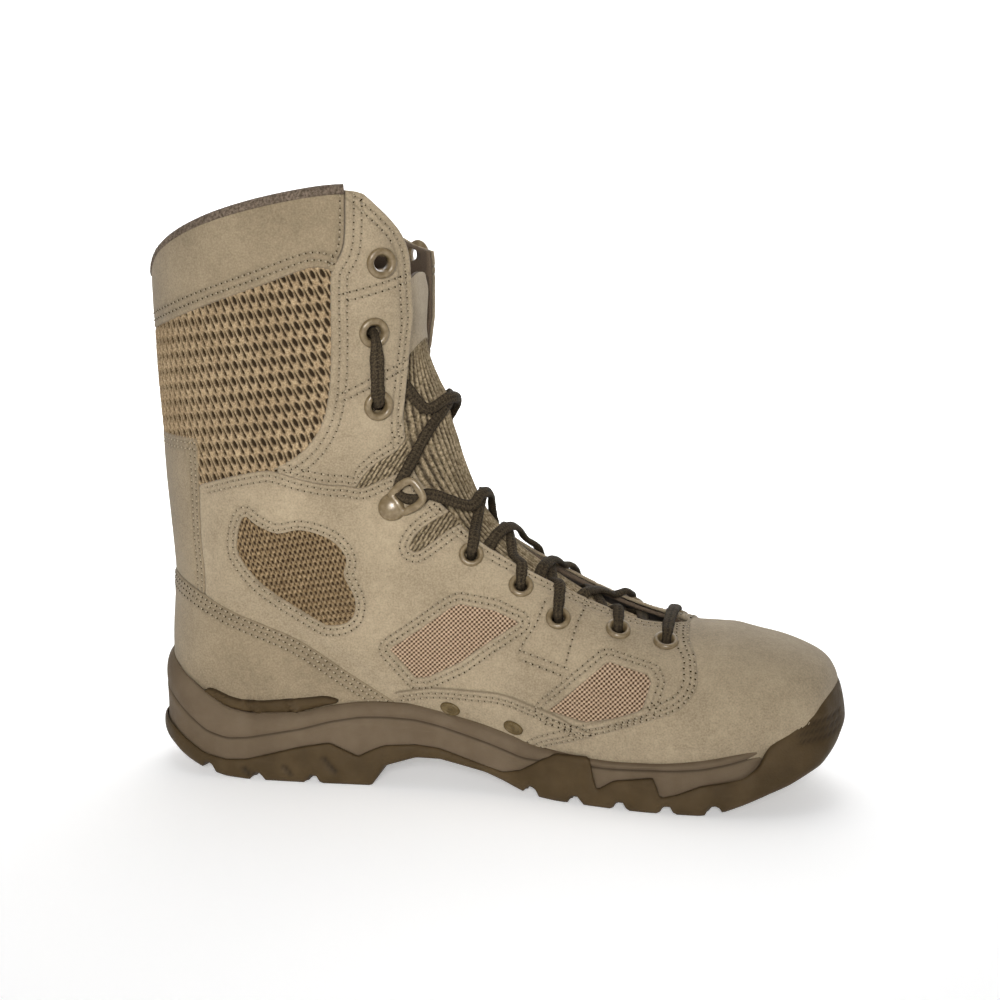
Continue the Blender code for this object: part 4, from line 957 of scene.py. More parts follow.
@dataclass
class Sheet:
    """Triangles over the last, with a normal and named values at each vertex."""

    values: Array
    columns: dict[str, int]
    tris: Array

    def get(self, name: str) -> Array:
        """A named value of all vertices."""
        return self.values[:, self.columns[name]]

    @property
    def points(self) -> Array:
        """Vertex places on the last."""
        return self.values[:, :3]

    @property
    def normals(self) -> Array:
        """Outward normals."""
        return unit(self.values[:, 3:6])

    def cut(self, name: str, level: float, snap: float = 0.04) -> None:
        """Splits triangles along the line where a named value has a level."""
        column = self.columns[name]
        near = np.abs(self.values[:, column] - level) < snap
        self.values[near, column] = level
        f = self.values[:, column] - level
        sign = np.sign(f)
        s = sign[self.tris]
        crossing = (s.min(1) < 0) & (s.max(1) > 0)
        if not crossing.any():
            return
        kept = self.tris[~crossing]
        tris = self.tris[crossing]
        s = s[crossing]
        flat = (s == 0).sum(1) == 1
        lone = np.where(s.sum(1)[:, None] > 0, s < 0, s > 0)
        start = np.where(flat, np.argmax(s == 0, axis=1), np.argmax(lone, axis=1))
        order = (start[:, None] + np.arange(3)) % 3
        tris = np.take_along_axis(tris, order, 1)
        a, b, c = tris.T
        first = np.where(flat[:, None], np.stack([b, c], 1), np.stack([a, b], 1))
        second = np.stack([a, c], 1)[~flat]
        pairs = np.sort(np.concatenate([first, second]), axis=1)
        unique, index = np.unique(pairs, axis=0, return_inverse=True)
        index = index.reshape(-1) + len(self.values)
        low, high = f[unique[:, 0]], f[unique[:, 1]]
        t = (low / (low - high))[:, None]
        added = self.values[unique[:, 0]] * (1 - t) + self.values[unique[:, 1]] * t
        added[:, column] = level
        p = index[: len(tris)]
        q = np.zeros(len(tris), int)
        q[~flat] = index[len(tris):]
        new = [np.stack([a, b, p], 1)[flat], np.stack([a, p, c], 1)[flat]]
        new += [np.stack(way, 1)[~flat] for way in ((a, p, q), (p, b, c), (p, c, q))]
        self.values = np.concatenate([self.values, added])
        self.tris = np.concatenate([kept] + new)

    def keep(self, name: str, level: float = 0.0) -> None:
        """Keeps the triangles at or above a level of a named value."""
        self.tris = self.tris[self.get(name)[self.tris].min(1) > level - 1e-6]
        used, index = np.unique(self.tris, return_inverse=True)
        self.values = self.values[used]
        self.tris = index.reshape(-1, 3)

    def trim(self, levels: Floats = ()) -> None:
        """Cuts the sheet to where "inside" is positive, and again along levels of it."""
        self.cut("inside", 0.0)
        self.keep("inside")
        for level in levels:
            self.cut("inside", level)

    def edges(self) -> Array:
        """The three edges of all triangles, as pairs of vertex numbers."""
        return np.concatenate([self.tris[:, [0, 1]], self.tris[:, [1, 2]], self.tris[:, [2, 0]]])

    def chains(self, name: str, level: float, allowed: Array) -> list[Array]:
        """Lines of vertices where a named value has a level.

        Args:
            name: The named value.
            level: Its level along the lines.
            allowed: Which vertices may be on a line.

        Returns:
            Vertex numbers in order, one array for each line.
        """
        on = (np.abs(self.get(name) - level) < 1e-9) & allowed
        edges = self.edges()
        edges = np.unique(np.sort(edges[on[edges].all(1)], axis=1), axis=0)
        links: dict[int, list[int]] = {}
        for a, b in edges.tolist():
            links.setdefault(a, []).append(b)
            links.setdefault(b, []).append(a)
        lines, seen = [], set()
        starts = [v for v, n in links.items() if len(n) == 1] + list(links)
        for start in starts:
            if start in seen:
                continue
            line = [start]
            seen.add(start)
            while True:
                following = [n for n in links[line[-1]] if n not in seen]
                if not following:
                    break
                line.append(following[0])
                seen.add(following[0])
            if len(line) > 3 and line[0] in links[line[-1]] and len(links[line[0]]) > 1:
                line.append(line[0])
            if len(line) > 3:
                lines.append(np.array(line))
        return lines

    def solid(self, top: Array, bottom: Array | float) -> tuple[Array, Array, int]:
        """Closes the sheet between two heights.

        Args:
            top: Height of the outer face at each vertex.
            bottom: Height of the inner face.

        Returns:
            Points, triangles, and the number of triangles in the outer face.
        """
        count = len(self.values)
        bottom = np.broadcast_to(bottom, (count,))
        points = np.concatenate([self.points + self.normals * top[:, None],
                                 self.points + self.normals * bottom[:, None]])
        edges = self.edges()
        key = np.sort(edges, axis=1)
        _, index, times = np.unique(key, axis=0, return_index=True, return_counts=True)
        rim = edges[index[times == 1]]
        a, b = rim.T
        walls = np.concatenate([np.stack([b, a, a + count], 1), np.stack([b, a + count, b + count], 1)])
        return points, np.concatenate([self.tris, self.tris[:, ::-1] + count, walls]), len(self.tris)


class SideGrid:
    """A dense grid over one side of the last, base line to throat edge."""

    def __init__(self, side: Side, row_step: float, step: float) -> None:
        """Lays out the grid and adds the creases; both sides share their rows, so that they can be welded."""
        self.side = side
        fine = np.linspace(0, COLLAR_STOP, TRACK_POINTS)
        run = np.zeros(len(fine))
        for share in (0.0, 0.5, 1.0):
            track = LAST.bare(fine, share * LAST.edge(fine), Side.MEDIAL)
            gaps = np.linalg.norm(np.diff(track, axis=0), axis=1)
            run[1:] = np.maximum(run[1:], gaps)
        run = np.cumsum(run)
        rows = int(run[-1] / row_step)
        self.sections = np.interp(np.linspace(0, run[-1], rows), run, fine)
        self.shares = np.linspace(0, 1, int(GIRTH_LENGTH / step))
        girth = LAST.edge(self.sections)[:, None] * self.shares[None, :]
        self.girth = girth
        self.points, self.normals = LAST.surface(self.sections[:, None], girth, side)
        self.flat = self.points.reshape(-1, 3)[:, [0, 2]]
        lift = sum(crease.lift(self.flat, side) for crease in CREASES).reshape(girth.shape)
        self.points = self.points + self.normals * lift[..., None]
        self.shape = girth.shape
        self.known: dict[str, Arrays] = {}

    def true_distance(self, gap: Array) -> Array:
        """A side-view distance as a distance along the surface."""
        gap = gap.reshape(self.shape)
        by_row, by_column = np.gradient(gap)
        p_row = np.gradient(self.points, axis=0)
        p_column = np.gradient(self.points, axis=1)
        e, f, g = (np.sum(u * v, -1) for u, v in ((p_row, p_row), (p_row, p_column), (p_column, p_column)))
        area = np.maximum(e * g - f * f, 1e-9)
        slope = np.sqrt(np.maximum(g * by_row**2 - 2 * f * by_row * by_column + e * by_column**2, 0) / area)
        return (gap / np.clip(slope, *SLOPE_RANGE)).ravel()

    def seam(self, name: str) -> Arrays:
        """Distance along the surface to a named seam, and whether a place is short of the seam's ends."""
        if name not in self.known:
            curve = seam_curve(name)
            gap, within = curve.distance(self.flat)
            if curve.closed:
                gap = np.where(curve.inside(self.flat), -gap, gap)
            self.known[name] = (self.true_distance(gap), within)
        return self.known[name]

    def region(self, outline: Array) -> Array:
        """Signed distance along the surface to a side-view outline, positive inside."""
        curve = Curve(outline, True)
        gap, _ = curve.distance(self.flat)
        return self.true_distance(np.where(curve.inside(self.flat), gap, -gap))

    def flap_edge(self) -> Array:
        """Distance to the free edge of the flap: the throat and the rounded top corner."""
        stations = np.linspace(THROAT_START + 0.02, COLLAR_STOP, EDGE_POINTS)
        track = LAST.bare(stations, LAST.edge(stations), self.side)
        tree = KDTree(len(track))
        for k, spot in enumerate(track):
            tree.insert(spot, k)
        tree.balance()
        throat = np.array([tree.find(spot)[2] for spot in self.points.reshape(-1, 3)])
        corner = spline(np.array(FLAP_TRIM[self.side]), SEAM_STEPS)
        gap = np.abs(Curve(corner, False).distance(self.flat)[0])
        kept = Curve(np.concatenate([corner, FLAP_SURROUND]), True).inside(self.flat)
        trim = self.true_distance(np.where(kept, gap, -gap))
        return np.minimum(throat, trim)

    def sheet(self, fields: dict[str, Array]) -> Sheet:
        """The grid as a sheet that carries named values."""
        words = ["section", "girth"] + list(fields)
        rows, columns = self.shape
        base = [np.repeat(self.sections, columns), self.girth.ravel()]
        values = np.column_stack([self.points.reshape(-1, 3), self.normals.reshape(-1, 3)] + base
                                 + [np.asarray(fields[w], float) for w in fields])
        tris = side_tris(rows, columns, self.side)
        area = np.linalg.norm(np.cross(values[tris[:, 1], :3] - values[tris[:, 0], :3],
                                       values[tris[:, 2], :3] - values[tris[:, 0], :3]), axis=1)
        return Sheet(values, {w: 6 + k for k, w in enumerate(words)}, tris[area > 1e-5])


def joined(sheets: list[Sheet]) -> Sheet:
    """Two sides as one sheet, welded where they meet, with normals shared there."""
    if len(sheets) == 1:
        return sheets[0]
    values = np.concatenate([sheet.values for sheet in sheets])
    tris = np.concatenate([sheets[0].tris, sheets[1].tris + len(sheets[0].values)])
    places = np.round(values[:, :3], JOIN_DECIMALS)
    _, first, index = np.unique(places, axis=0, return_index=True, return_inverse=True)
    index = index.reshape(-1)
    total = np.zeros((len(first), 3))
    np.add.at(total, index, values[:, 3:6])
    merged = values[first].copy()
    merged[:, 3:6] = unit(total)
    return Sheet(merged, sheets[0].columns, proper(index[tris]))


class Spots:
    """Places of eyelets and hooks on the dressed upper."""

    def __init__(self, grids: dict[Side, SideGrid]) -> None:
        """Keeps the grids that places are looked up on."""
        self.grids = grids

    def at(self, x: float, z: float, side: Side) -> Pair:
        """Section and girth of a side-view place on one side."""
        grid = self.grids[side]
        gap = np.hypot(grid.flat[:, 0] - x, grid.flat[:, 1] - z).reshape(grid.shape)
        gap = gap + np.where(grid.sections < TOE_SECTIONS, TOE_PENALTY, 0.0)[:, None]
        row, column = np.unravel_index(np.argmin(gap), gap.shape)
        spot = np.array((grid.sections[row], grid.girth[row, column]))
        step = SPOT_STEP
        for _ in range(SPOT_ROUNDS):
            here = LAST.bare(*spot, side)[[0, 2]]
            ahead = LAST.bare(spot[0] + step, spot[1], side)[[0, 2]]
            above = LAST.bare(spot[0], spot[1] + step, side)[[0, 2]]
            slopes = np.column_stack([ahead - here, above - here]) / step
            move = np.linalg.lstsq(slopes, np.array((x, z)) - here, rcond=1e-3)[0]
            spot = spot + np.clip(move, -SPOT_LIMIT, SPOT_LIMIT)
        return float(spot[0]), float(spot[1])

    def eyelet(self, letter: str, side: Side) -> Pair:
        """Section and girth of an eyelet."""
        return self.at(*EYELETS[letter][:2], side)

    def frame(self, x: float, z: float, side: Side, lift: float, turn: float = 0.0) -> Matrix:
        """A matrix at a place: Z is outward and X runs forward, turned up by an angle in degrees."""
        section, girth = self.at(x, z, side)
        place, normal = LAST.surface(section, girth, side)
        out = Vector(normal)
        forward = Vector((np.cos(np.radians(turn)), 0.0, np.sin(np.radians(turn))))
        forward = (forward - out * forward.dot(out)).normalized()
        matrix = Matrix((forward, out.cross(forward), out)).transposed().to_4x4()
        matrix.translation = Vector(place) + out * lift
        return matrix


# Stitching


@dataclass
class Stitching:
    """Thread along seams, gathered and made as one mesh."""

    name: str
    pitch: float = 2.9
    length: float = 1.15
    lead: float = 0.1
    fine: float = 0.25
    thick: float = 0.42
    end_thick: float = 0.62
    rise: float = 0.42
    sink: float = 0.22
    sides: int = 4
    bend: int = 3
    hole: Pair = (1.05, 0.50)
    hole_corner: float = 0.62
    hole_rim: float = 0.27
    hole_top: float = 0.38
    hole_foot: float = -0.3
    starts: list[Array] = field(default_factory=list)
    ups: list[Array] = field(default_factory=list)

    def run(self, points: Array, normals: Array) -> None:
        """Adds one seam of stitches along surface points."""
        both = resample(np.concatenate([points, normals], 1), self.fine)
        run = run_of(both[:, :3])
        count = int(run[-1] / self.pitch)
        if count < 2:
            return
        share = np.linspace(0, self.length / self.pitch, self.bend)
        where = (np.arange(count)[:, None] + self.lead + share[None, :]) * run[-1] / count
        spots = np.stack([np.interp(where, run, both[:, k]) for k in range(6)], -1)
        self.starts.append(spots[..., :3])
        self.ups.append(unit(spots[..., 3:]))

    def needle_holes(self, place: Array, way: Array, across: Array, up: Array) -> Arrays:
        """Flat six-sided marks behind the stitches: the needle holes drawn as painted shade.

        Args:
            place: Ends of the stitches.
            way: Directions along the seam.
            across: Directions across the seam.
            up: Directions out of the suede.

        Returns:
            Points of every hole, and the triangles of one.
        """
        long, wide = self.hole
        corner = long * self.hole_corner
        rim = ((long, 0.0), (corner, wide), (-corner, wide), (-long, 0.0), (-corner, -wide), (corner, -wide))
        top, foot = len(rim), len(rim) + 1
        shape = [(a, b, self.hole_rim) for a, b in rim]
        shape += [(0.0, 0.0, self.hole_top), (0.0, 0.0, self.hole_foot)]
        spots = place + way * (self.pitch - self.length) / 2
        points = np.stack([spots + way * a + across * b + up * c for a, b, c in shape], 1)
        turns = [(k, (k + 1) % len(rim)) for k in range(len(rim))]
        return points, np.array([(a, b, top) for a, b in turns] + [(b, a, foot) for a, b in turns])

    def build(self, finishes: Finishes, slot: Slot) -> None:
        """Makes the mesh: a bent thread for each stitch and, at its end, a needle hole drawn as painted
        shade.
        """
        if not self.starts:
            return
        line, up = np.concatenate(self.starts), np.concatenate(self.ups)
        count, bend = line.shape[:2]
        arch = np.sin(np.linspace(0, np.pi, bend))
        centre = line + up * (arch * self.rise - self.sink)[None, :, None]
        way = unit(np.gradient(centre, axis=1))
        across = unit(np.cross(way, up))
        over = np.cross(across, way)
        angle = np.arange(self.sides) * 2 * np.pi / self.sides
        radius = self.thick * (self.end_thick + (1 - self.end_thick) * arch)
        ring = np.cos(angle)[:, None] * across[:, :, None, :] + np.sin(angle)[:, None] * over[:, :, None, :]
        threads = (centre[:, :, None, :] + ring * radius[None, :, None, None]).reshape(-1, 3)
        tube = np.concatenate([grid_tris(bend, self.sides, True), end_caps(bend, self.sides)[:, ::-1]])
        holes, faces = self.needle_holes(line[:, -1], way[:, -1], across[:, -1], up[:, -1])
        tris = repeated(tube, count, bend * self.sides)
        extra = repeated(faces, count, holes.shape[1]) + len(threads)
        index = np.repeat((0, 1), (len(tris), len(extra)))
        points = np.concatenate([threads, holes.reshape(-1, 3)])
        wear = [finishes.thread, finishes.needle_shade]
        dress(mesh_object(self.name, points, np.concatenate([tris, extra]), wear, index), slot)


# Overlays


@dataclass(frozen=True)
class Rows:
    """Rows of stitches beside a seam, by their distances from it; signed ones lie on the seam's right."""

    seam: str
    offsets: Floats
    signed: bool = False


@dataclass(frozen=True)
class Overlay:
    """One suede overlay: its outline, windows, stitch rows and height."""

    node: str
    outline: str
    sides: tuple[Side, ...]
    rows: tuple[Rows, ...]
    windows: Words = ()
    flap: bool = False
    flap_rows: Floats = ()
    high: float = OVERLAY_TOP
    raised: Words = ()
    tucked: Words = ()
    steps: Words = ()
    low: float = 0.05
    round_at: float = 1.2
    spread: float = 0.0
    dark: bool = False


# Stretches of seam curves that outlines share, by curve point
COUNTER_BACK, COUNTER_FRONT = slice(12, None, -1), slice(15, None)
FACING_HIGH, FACING_LOW = slice(17, None, -1), slice(22, None)
STAY_LOW, STAY_HIGH, BROW_BACK = slice(5, None), slice(5, 0, -1), slice(57, None)
UNDERLAP = np.array((0.0, 3.0))


def seam_points(name: str) -> Array:
    """Points of a named seam's curve."""
    return seam_curve(name).points


OUTLINES = {
    "vamp": lambda: np.concatenate([seam_points("vamp"), ((175.0, 90.0), (175.0, 0.0))]),
    "heel_counter": lambda: np.concatenate([seam_points("counter"), ((-30.0, 0.0), (-170.0, 0.0))]),
    "backstay": lambda: np.concatenate([seam_points("backstay"), seam_points("counter")[COUNTER_BACK],
                                        ((-170.0, 155.0),)]),
    "cuff": lambda: np.concatenate([seam_points("cuff"), seam_points("facing")[FACING_HIGH],
                                    ((-170.0, 275.0),)]),
    "quarter": lambda: np.concatenate([seam_points("vamp"), seam_points("quarter_top"),
                                       seam_points("backstay")[STAY_LOW],
                                       seam_points("counter")[COUNTER_FRONT] - UNDERLAP]),
    "facing": lambda: np.concatenate([seam_points("facing"), seam_points("facing_foot"),
                                      ((0.0, 200.0), (0.0, 275.0))]),
    "shaft": lambda: np.concatenate([seam_points("cuff"), seam_points("facing")[FACING_LOW],
                                     seam_points("quarter_top")[BROW_BACK],
                                     seam_points("backstay")[STAY_HIGH],
                                     ((-170.0, 155.0),)]),
}

WINDOW_ROWS = (1.9, 4.5)
# The heel counter, backstay and cuff are marked dark: they wear the shaded suede, which is painted shade.
OVERLAYS = (
    Overlay("vamp", "vamp", BOTH, (), tucked=("vamp",), spread=2.5),
    Overlay("heel_counter", "heel_counter", BOTH, (Rows("counter", (1.5, 3.9, 6.6)),), raised=("counter",),
            dark=True),
    Overlay("backstay", "backstay", BOTH, (Rows("backstay", (1.6, 4.4)), Rows("backstay_top", (2.4, 5.2))),
            dark=True),
    Overlay("cuff", "cuff", BOTH, (Rows("cuff", (3.4, 6.6)), Rows("facing", (2.0,))), dark=True),
    Overlay("quarter_", "quarter", (Side.MEDIAL,), (
        Rows("vamp", (1.4, 3.4, 6.2)), Rows("ankle", WINDOW_ROWS), Rows("weave_rear", (2.4, 5.0)),
        Rows("weave_front", (3.4, 5.8)), Rows("notch_low", WINDOW_ROWS), Rows("quarter_top", (2.2, 4.7)),
        Rows("tab_rear", (0.0,), True), Rows("tab_front", (0.0,), True), Rows("tab_box", (1.8,)),
        Rows("strip", (2.0, 4.0), True)),
        ("ankle", "weave_rear", "weave_front", "notch_low"), True, (2.4, 4.9),
        raised=("vamp",), tucked=("counter",), steps=("strip",)),
    Overlay("facing_", "facing", (Side.MEDIAL,), (
        Rows("facing", (3.8, 7.2)), Rows("facing_foot", (2.0, 4.8)),
        Rows("cross_high", (1.7,)), Rows("cross_low", (1.7,))), (), True, (3.2, 6.1)),
)


@dataclass(frozen=True)
class SuedeShape:
    """Heights of the suede, and its painted shade, at its edges, seams, steps and stitch rows."""

    edge_levels: Floats = (0.3, 0.75, 1.4)
    edge_start: float = 0.12
    edge_shade: float = 0.5
    edge_shade_wide: float = 0.5
    raise_high: float = 0.55
    raise_fade: Pair = (5.0, 12.0)
    tuck_deep: float = 0.35
    tuck_fade: Pair = (2.0, 9.0)
    puff_high: float = 0.45
    puff_from: float = 3.0
    puff_run: float = 9.0
    step_levels: Floats = (-0.5, -0.15, 0.2, 0.6)
    step_high: float = 0.7
    step_fade: Pair = (6.0, 16.0)
    step_shade: float = 0.7
    step_shade_at: float = -0.3
    step_shade_wide: float = 0.4
    row_beside: Floats = (-0.7, 0.0, 0.7)
    row_deep: float = 0.34
    row_wide: float = 0.75
    row_shade: float = 0.42
    row_shade_wide: float = 0.55
    stitch_clear: float = 1.05
    flap_clear: float = 0.6


@dataclass
class UpperWork:
    """The upper: its wall, and the overlays with their stitching."""

    finishes: Finishes
    grids: dict[Side, SideGrid]
    spots: Spots
    shape: SuedeShape = SuedeShape()
    bore_gap: float = 0.3
    shells: list[Arrays] = field(default_factory=list)

    @staticmethod
    def flap_field(grid: SideGrid) -> Array:
        """The free edge's distance, worked out once for each grid."""
        if "flap" not in grid.known:
            grid.known["flap"] = (grid.flap_edge(), np.ones(grid.points.size // 3, bool))
        return grid.known["flap"][0]

    def bores(self, grid: SideGrid) -> Array:
        """Distance to the nearest eyelet's hole, negative in it."""
        points = grid.points.reshape(-1, 3)
        best = np.full(len(points), FAR)
        for letter, (_, _, _, bore) in EYELETS.items():
            centre = LAST.bare(*self.spots.eyelet(letter, grid.side), grid.side)
            best = np.minimum(best, np.linalg.norm(points - centre, axis=1) - bore - self.bore_gap)
        return best

    def overlay_sheet(self, plan: Overlay, side: Side) -> Sheet:
        """One side of an overlay, cut to its outline and along its stitch rows."""
        grid, shape = self.grids[side], self.shape
        inside = grid.region(OUTLINES[plan.outline]()) + plan.spread
        for window in plan.windows:
            inside = np.minimum(inside, grid.seam(window)[0])
        fields = {}
        if plan.flap:
            fields["flap"] = self.flap_field(grid)
            inside = np.minimum(np.minimum(inside, fields["flap"]), self.bores(grid))
        fields["inside"] = inside
        for rows in plan.rows:
            gap, within = grid.seam(rows.seam)
            fields[rows.seam] = gap if rows.signed else np.abs(gap)
            fields[rows.seam + "_ok"] = within
        for word in plan.raised + plan.tucked:
            fields.setdefault(word, np.abs(grid.seam(word)[0]))
        sheet = grid.sheet(fields)
        sheet.trim(shape.edge_levels)
        for word in plan.steps:
            for level in shape.step_levels:
                sheet.cut(word, level)
        beside = shape.row_beside if side is Side.MEDIAL and not plan.dark else (0.0,)
        for rows in plan.rows:
            for level in (offset + shift for offset in rows.offsets for shift in beside):
                if level > 0 or rows.signed:
                    sheet.cut(rows.seam, level)
        for level in (offset + shift for offset in plan.flap_rows for shift in beside):
            sheet.cut("flap", level)
        return sheet

    def heights(self, plan: Overlay, sheet: Sheet) -> Arrays:
        """Outer height of an overlay's vertices, and the painted shade at its edges, steps and stitch rows.
        """
        shape, inside = self.shape, sheet.get("inside")
        t = np.clip(inside / plan.round_at, 0, 1)
        high = np.full(len(inside), plan.high)
        for word in plan.raised:
            high = high + shape.raise_high * (1 - smoothstep(*shape.raise_fade, sheet.get(word)))
        for word in plan.tucked:
            high = high - shape.tuck_deep * (1 - smoothstep(*shape.tuck_fade, sheet.get(word)))
        top = high * (shape.edge_start + (1 - shape.edge_start) * np.sqrt(1 - (1 - t) ** 2))
        top = top + shape.puff_high * (1 - np.exp(-np.maximum(inside - shape.puff_from, 0) / shape.puff_run))
        # Painted shade: darker along the cut edge, just under each step and in each pressed stitch row.
        seam = shape.edge_shade * (1 - smoothstep(0.0, shape.edge_shade_wide, inside))
        for word in plan.steps:
            gap, ok = sheet.get(word), sheet.get(word + "_ok") > 0.5
            rise = smoothstep(shape.step_levels[0], shape.step_levels[-1], gap)
            top = top + np.where(ok, shape.step_high * rise * (1 - smoothstep(*shape.step_fade, gap)), 0)
            shade = shape.step_shade * bell(gap - shape.step_shade_at, shape.step_shade_wide)
            seam = np.maximum(seam, np.where(ok, shade, 0))
        pressed = [(np.abs(sheet.get(rows.seam) - offset), sheet.get(rows.seam + "_ok") > 0.5)
                   for rows in plan.rows for offset in rows.offsets]
        pressed += [(np.abs(sheet.get("flap") - offset), True) for offset in plan.flap_rows]
        for gap, ok in pressed:
            top = top - np.where(ok, shape.row_deep * bell(gap, shape.row_wide), 0)
            seam = np.maximum(seam, np.where(ok, shape.row_shade * bell(gap, shape.row_shade_wide), 0))
        return top, seam

    def stitch(self, plan: Overlay, sheet: Sheet, top: Array, work: Stitching) -> None:
        """Adds the overlay's stitch rows to a stitching."""
        places = sheet.points + sheet.normals * top[:, None]
        inside = sheet.get("inside")
        lines = []
        for rows in plan.rows:
            ok = (inside > self.shape.stitch_clear) & (sheet.get(rows.seam + "_ok") > 0.5)
            for offset in rows.offsets:
                lines += sheet.chains(rows.seam, offset, ok)
        for offset in plan.flap_rows:
            lines += sheet.chains("flap", offset, inside > offset - self.shape.flap_clear)
        for line in lines:
            work.run(places[line], sheet.normals[line])

    def build_overlay(self, plan: Overlay) -> None:
        """One overlay as a closed solid with its stitching."""
        sheet = joined([self.overlay_sheet(plan, side) for side in plan.sides])
        top, seam = self.heights(plan, sheet)
        points, tris, _ = sheet.solid(top, plan.low)
        # The seam attribute carries the painted shade to the suede finish.
        fields = {"seam": np.concatenate([seam, seam])}
        node = plan.node + (plan.sides[0].word if plan.node.endswith("_") else "")
        # Overlays marked dark take the shaded copy of the suede: painted shade.
        finish = self.finishes.suede_shaded if plan.dark else self.finishes.suede
        obj = mesh_object(node + "_suede", points, tris, [finish], None, fields)
        dress(obj, Slot.SUEDE, node)
        self.shells.append((points[: len(sheet.values)], sheet.tris))
        work = Stitching("stitches_" + node)
        self.stitch(plan, sheet, top, work)
        work.build(self.finishes, Slot.SUEDE)

    def build_overlays(self) -> None:
        """All suede overlays; a node name that ends in an underscore stands for one on each side."""
        for plan in OVERLAYS:
            if not plan.node.endswith("_"):
                self.build_overlay(plan)
                continue
            for side in BOTH:
                self.build_overlay(replace(plan, sides=(side,)))

    def build_wall(self) -> None:
        """The hollow wall of the upper: gusset fabric outside, lining inside."""
        sheets = []
        for side in BOTH:
            grid = SideGrid(side, WALL_STEP, WALL_STEP)
            sheet = grid.sheet({"inside": np.minimum(self.flap_field(grid), self.bores(grid))})
            sheet.trim()
            sheets.append(sheet)
        sheet = joined(sheets)
        points, tris, outer = sheet.solid(np.full(len(sheet.values), WALL_TOP), -WALL)
        index = np.ones(len(tris), int)
        index[:outer] = 0
        wear = [self.finishes.ribbed, self.finishes.lining]
        obj = mesh_object("upper_wall", points, tris, wear, index, {"hole": np.zeros(len(points))})
        dress(obj, Slot.MESH, "upper")


@dataclass
class HeelInserts:
    """Moulded inserts above the midsole's rim on both sides of the heel."""

    finishes: Finishes
    grids: dict[Side, SideGrid]
    foot: float = 1.6
    edge: float = 1.7
    dome: float = 2.4
    round_at: float = 2.6
    edge_levels: Floats = (0.4, 0.9, 1.6, 2.4)
    rib_at: Floats = (-104.4, -85.6)
    rib_level: float = 34.0
    rib_slant: float = 0.8
    rib_high: float = 1.3
    rib_wide: float = 1.5
    dip_deep: float = 0.5
    dip_at: float = 3.4
    dip_wide: float = 1.2
    shade: float = 0.6

    def build(self) -> None:
        """Makes both inserts as domed solids with slanted ribs."""
        for side in BOTH:
            grid = self.grids[side]
            sheet = grid.sheet({"inside": grid.region(seam_points("stabilizer"))})
            sheet.trim(self.edge_levels)
            inside = sheet.get("inside")
            t = np.clip(inside / self.round_at, 0, 1)
            top = self.edge + self.dome * np.sqrt(1 - (1 - t) ** 2)
            x, z = sheet.points[:, 0], sheet.points[:, 2]
            for at in self.rib_at:
                gap = np.abs((x - at) + (z - self.rib_level) * self.rib_slant)
                top = top + self.rib_high * bell(gap, self.rib_wide)
                top = top - self.dip_deep * bell(gap - self.dip_at, self.dip_wide)
            points, tris, _ = sheet.solid(top, self.foot)
            # Painted shade along the insert's edge, where it meets the upper.
            seam = self.shade * (1 - smoothstep(0.0, 1.0, inside))
            fields = {"seam": np.concatenate([seam, seam])}
            obj = mesh_object("heel_insert_" + side.word, points, tris, [self.finishes.outsole], None, fields)
            dress(obj, Slot.OUTSOLE, "heel_stabilizer_" + side.word)


# Fabric windows


@dataclass(frozen=True)
class WeaveRelief:
    """Plain weave, as rows of dots."""

    period: Pair = (2.1, 2.0)
    high: float = 0.30
    soft: float = 0.30

    def at(self, a: Array, b: Array) -> Arrays:
        """Height and hole share at developed places."""
        dots = np.cos(2 * np.pi * a / self.period[0]) * np.cos(2 * np.pi * b / self.period[1])
        return self.high * dots, smoothstep(-self.soft, self.soft, -dots)


@dataclass(frozen=True)
class RibRelief:
    """Slanted ribs whose slits swell by turns."""

    lean: Pair = (0.86, 0.51)
    pitch: float = 1.6
    beat: float = 3.4
    swell: float = 0.22
    slit: Pair = (-0.25, 0.5)
    high: float = 0.25
    deep: float = 0.2

    def at(self, a: Array, b: Array) -> Arrays:
        """Height and hole share at developed places."""
        along, down = self.lean
        u, v = (a * along - b * down) / self.pitch, (a * down + b * along) / self.beat
        swell = 1 - self.swell + self.swell * np.cos(2 * np.pi * v + np.pi * np.round(u))
        rib = np.cos(2 * np.pi * u)
        slit = smoothstep(*self.slit, -rib) * swell
        return self.high * rib - self.deep * slit, slit


@dataclass(frozen=True)
class LatticeRelief:
    """Open mesh: steps along a row and down a column, then each hole's place in the cell and half sizes."""

    row: Pair
    column: Pair
    holes: Quads
    soft: Pair = (-0.22, 0.26)
    full_row: float = 4.1
    base: float = 0.40
    strand: float = 0.22
    deep: float = 0.95

    def at(self, a: Array, b: Array) -> Arrays:
        """Height and hole share at developed places."""
        row, column = self.row, self.column
        u, v = np.linalg.inv(np.array((row, column)).T) @ np.stack([a, b])
        down = np.array(column) / np.hypot(*column)
        deep = np.full(len(a), -FAR)
        for at_u, at_v, wide, tall in self.holes:
            du, dv = u - at_u - np.round(u - at_u), v - at_v - np.round(v - at_v)
            x, y = du * row[0] + dv * column[0], du * row[1] + dv * column[1]
            along, across = x * down[0] + y * down[1], x * down[1] - y * down[0]
            deep = np.maximum(deep, wide * (1 - np.sqrt((across / wide) ** 2 + (along / tall) ** 2)))
        hole = smoothstep(*self.soft, deep)
        strand = -np.cos(4 * np.pi * u)
        high = row[0] / self.full_row * (self.base + self.strand * strand - self.deep * hole)
        return high, hole


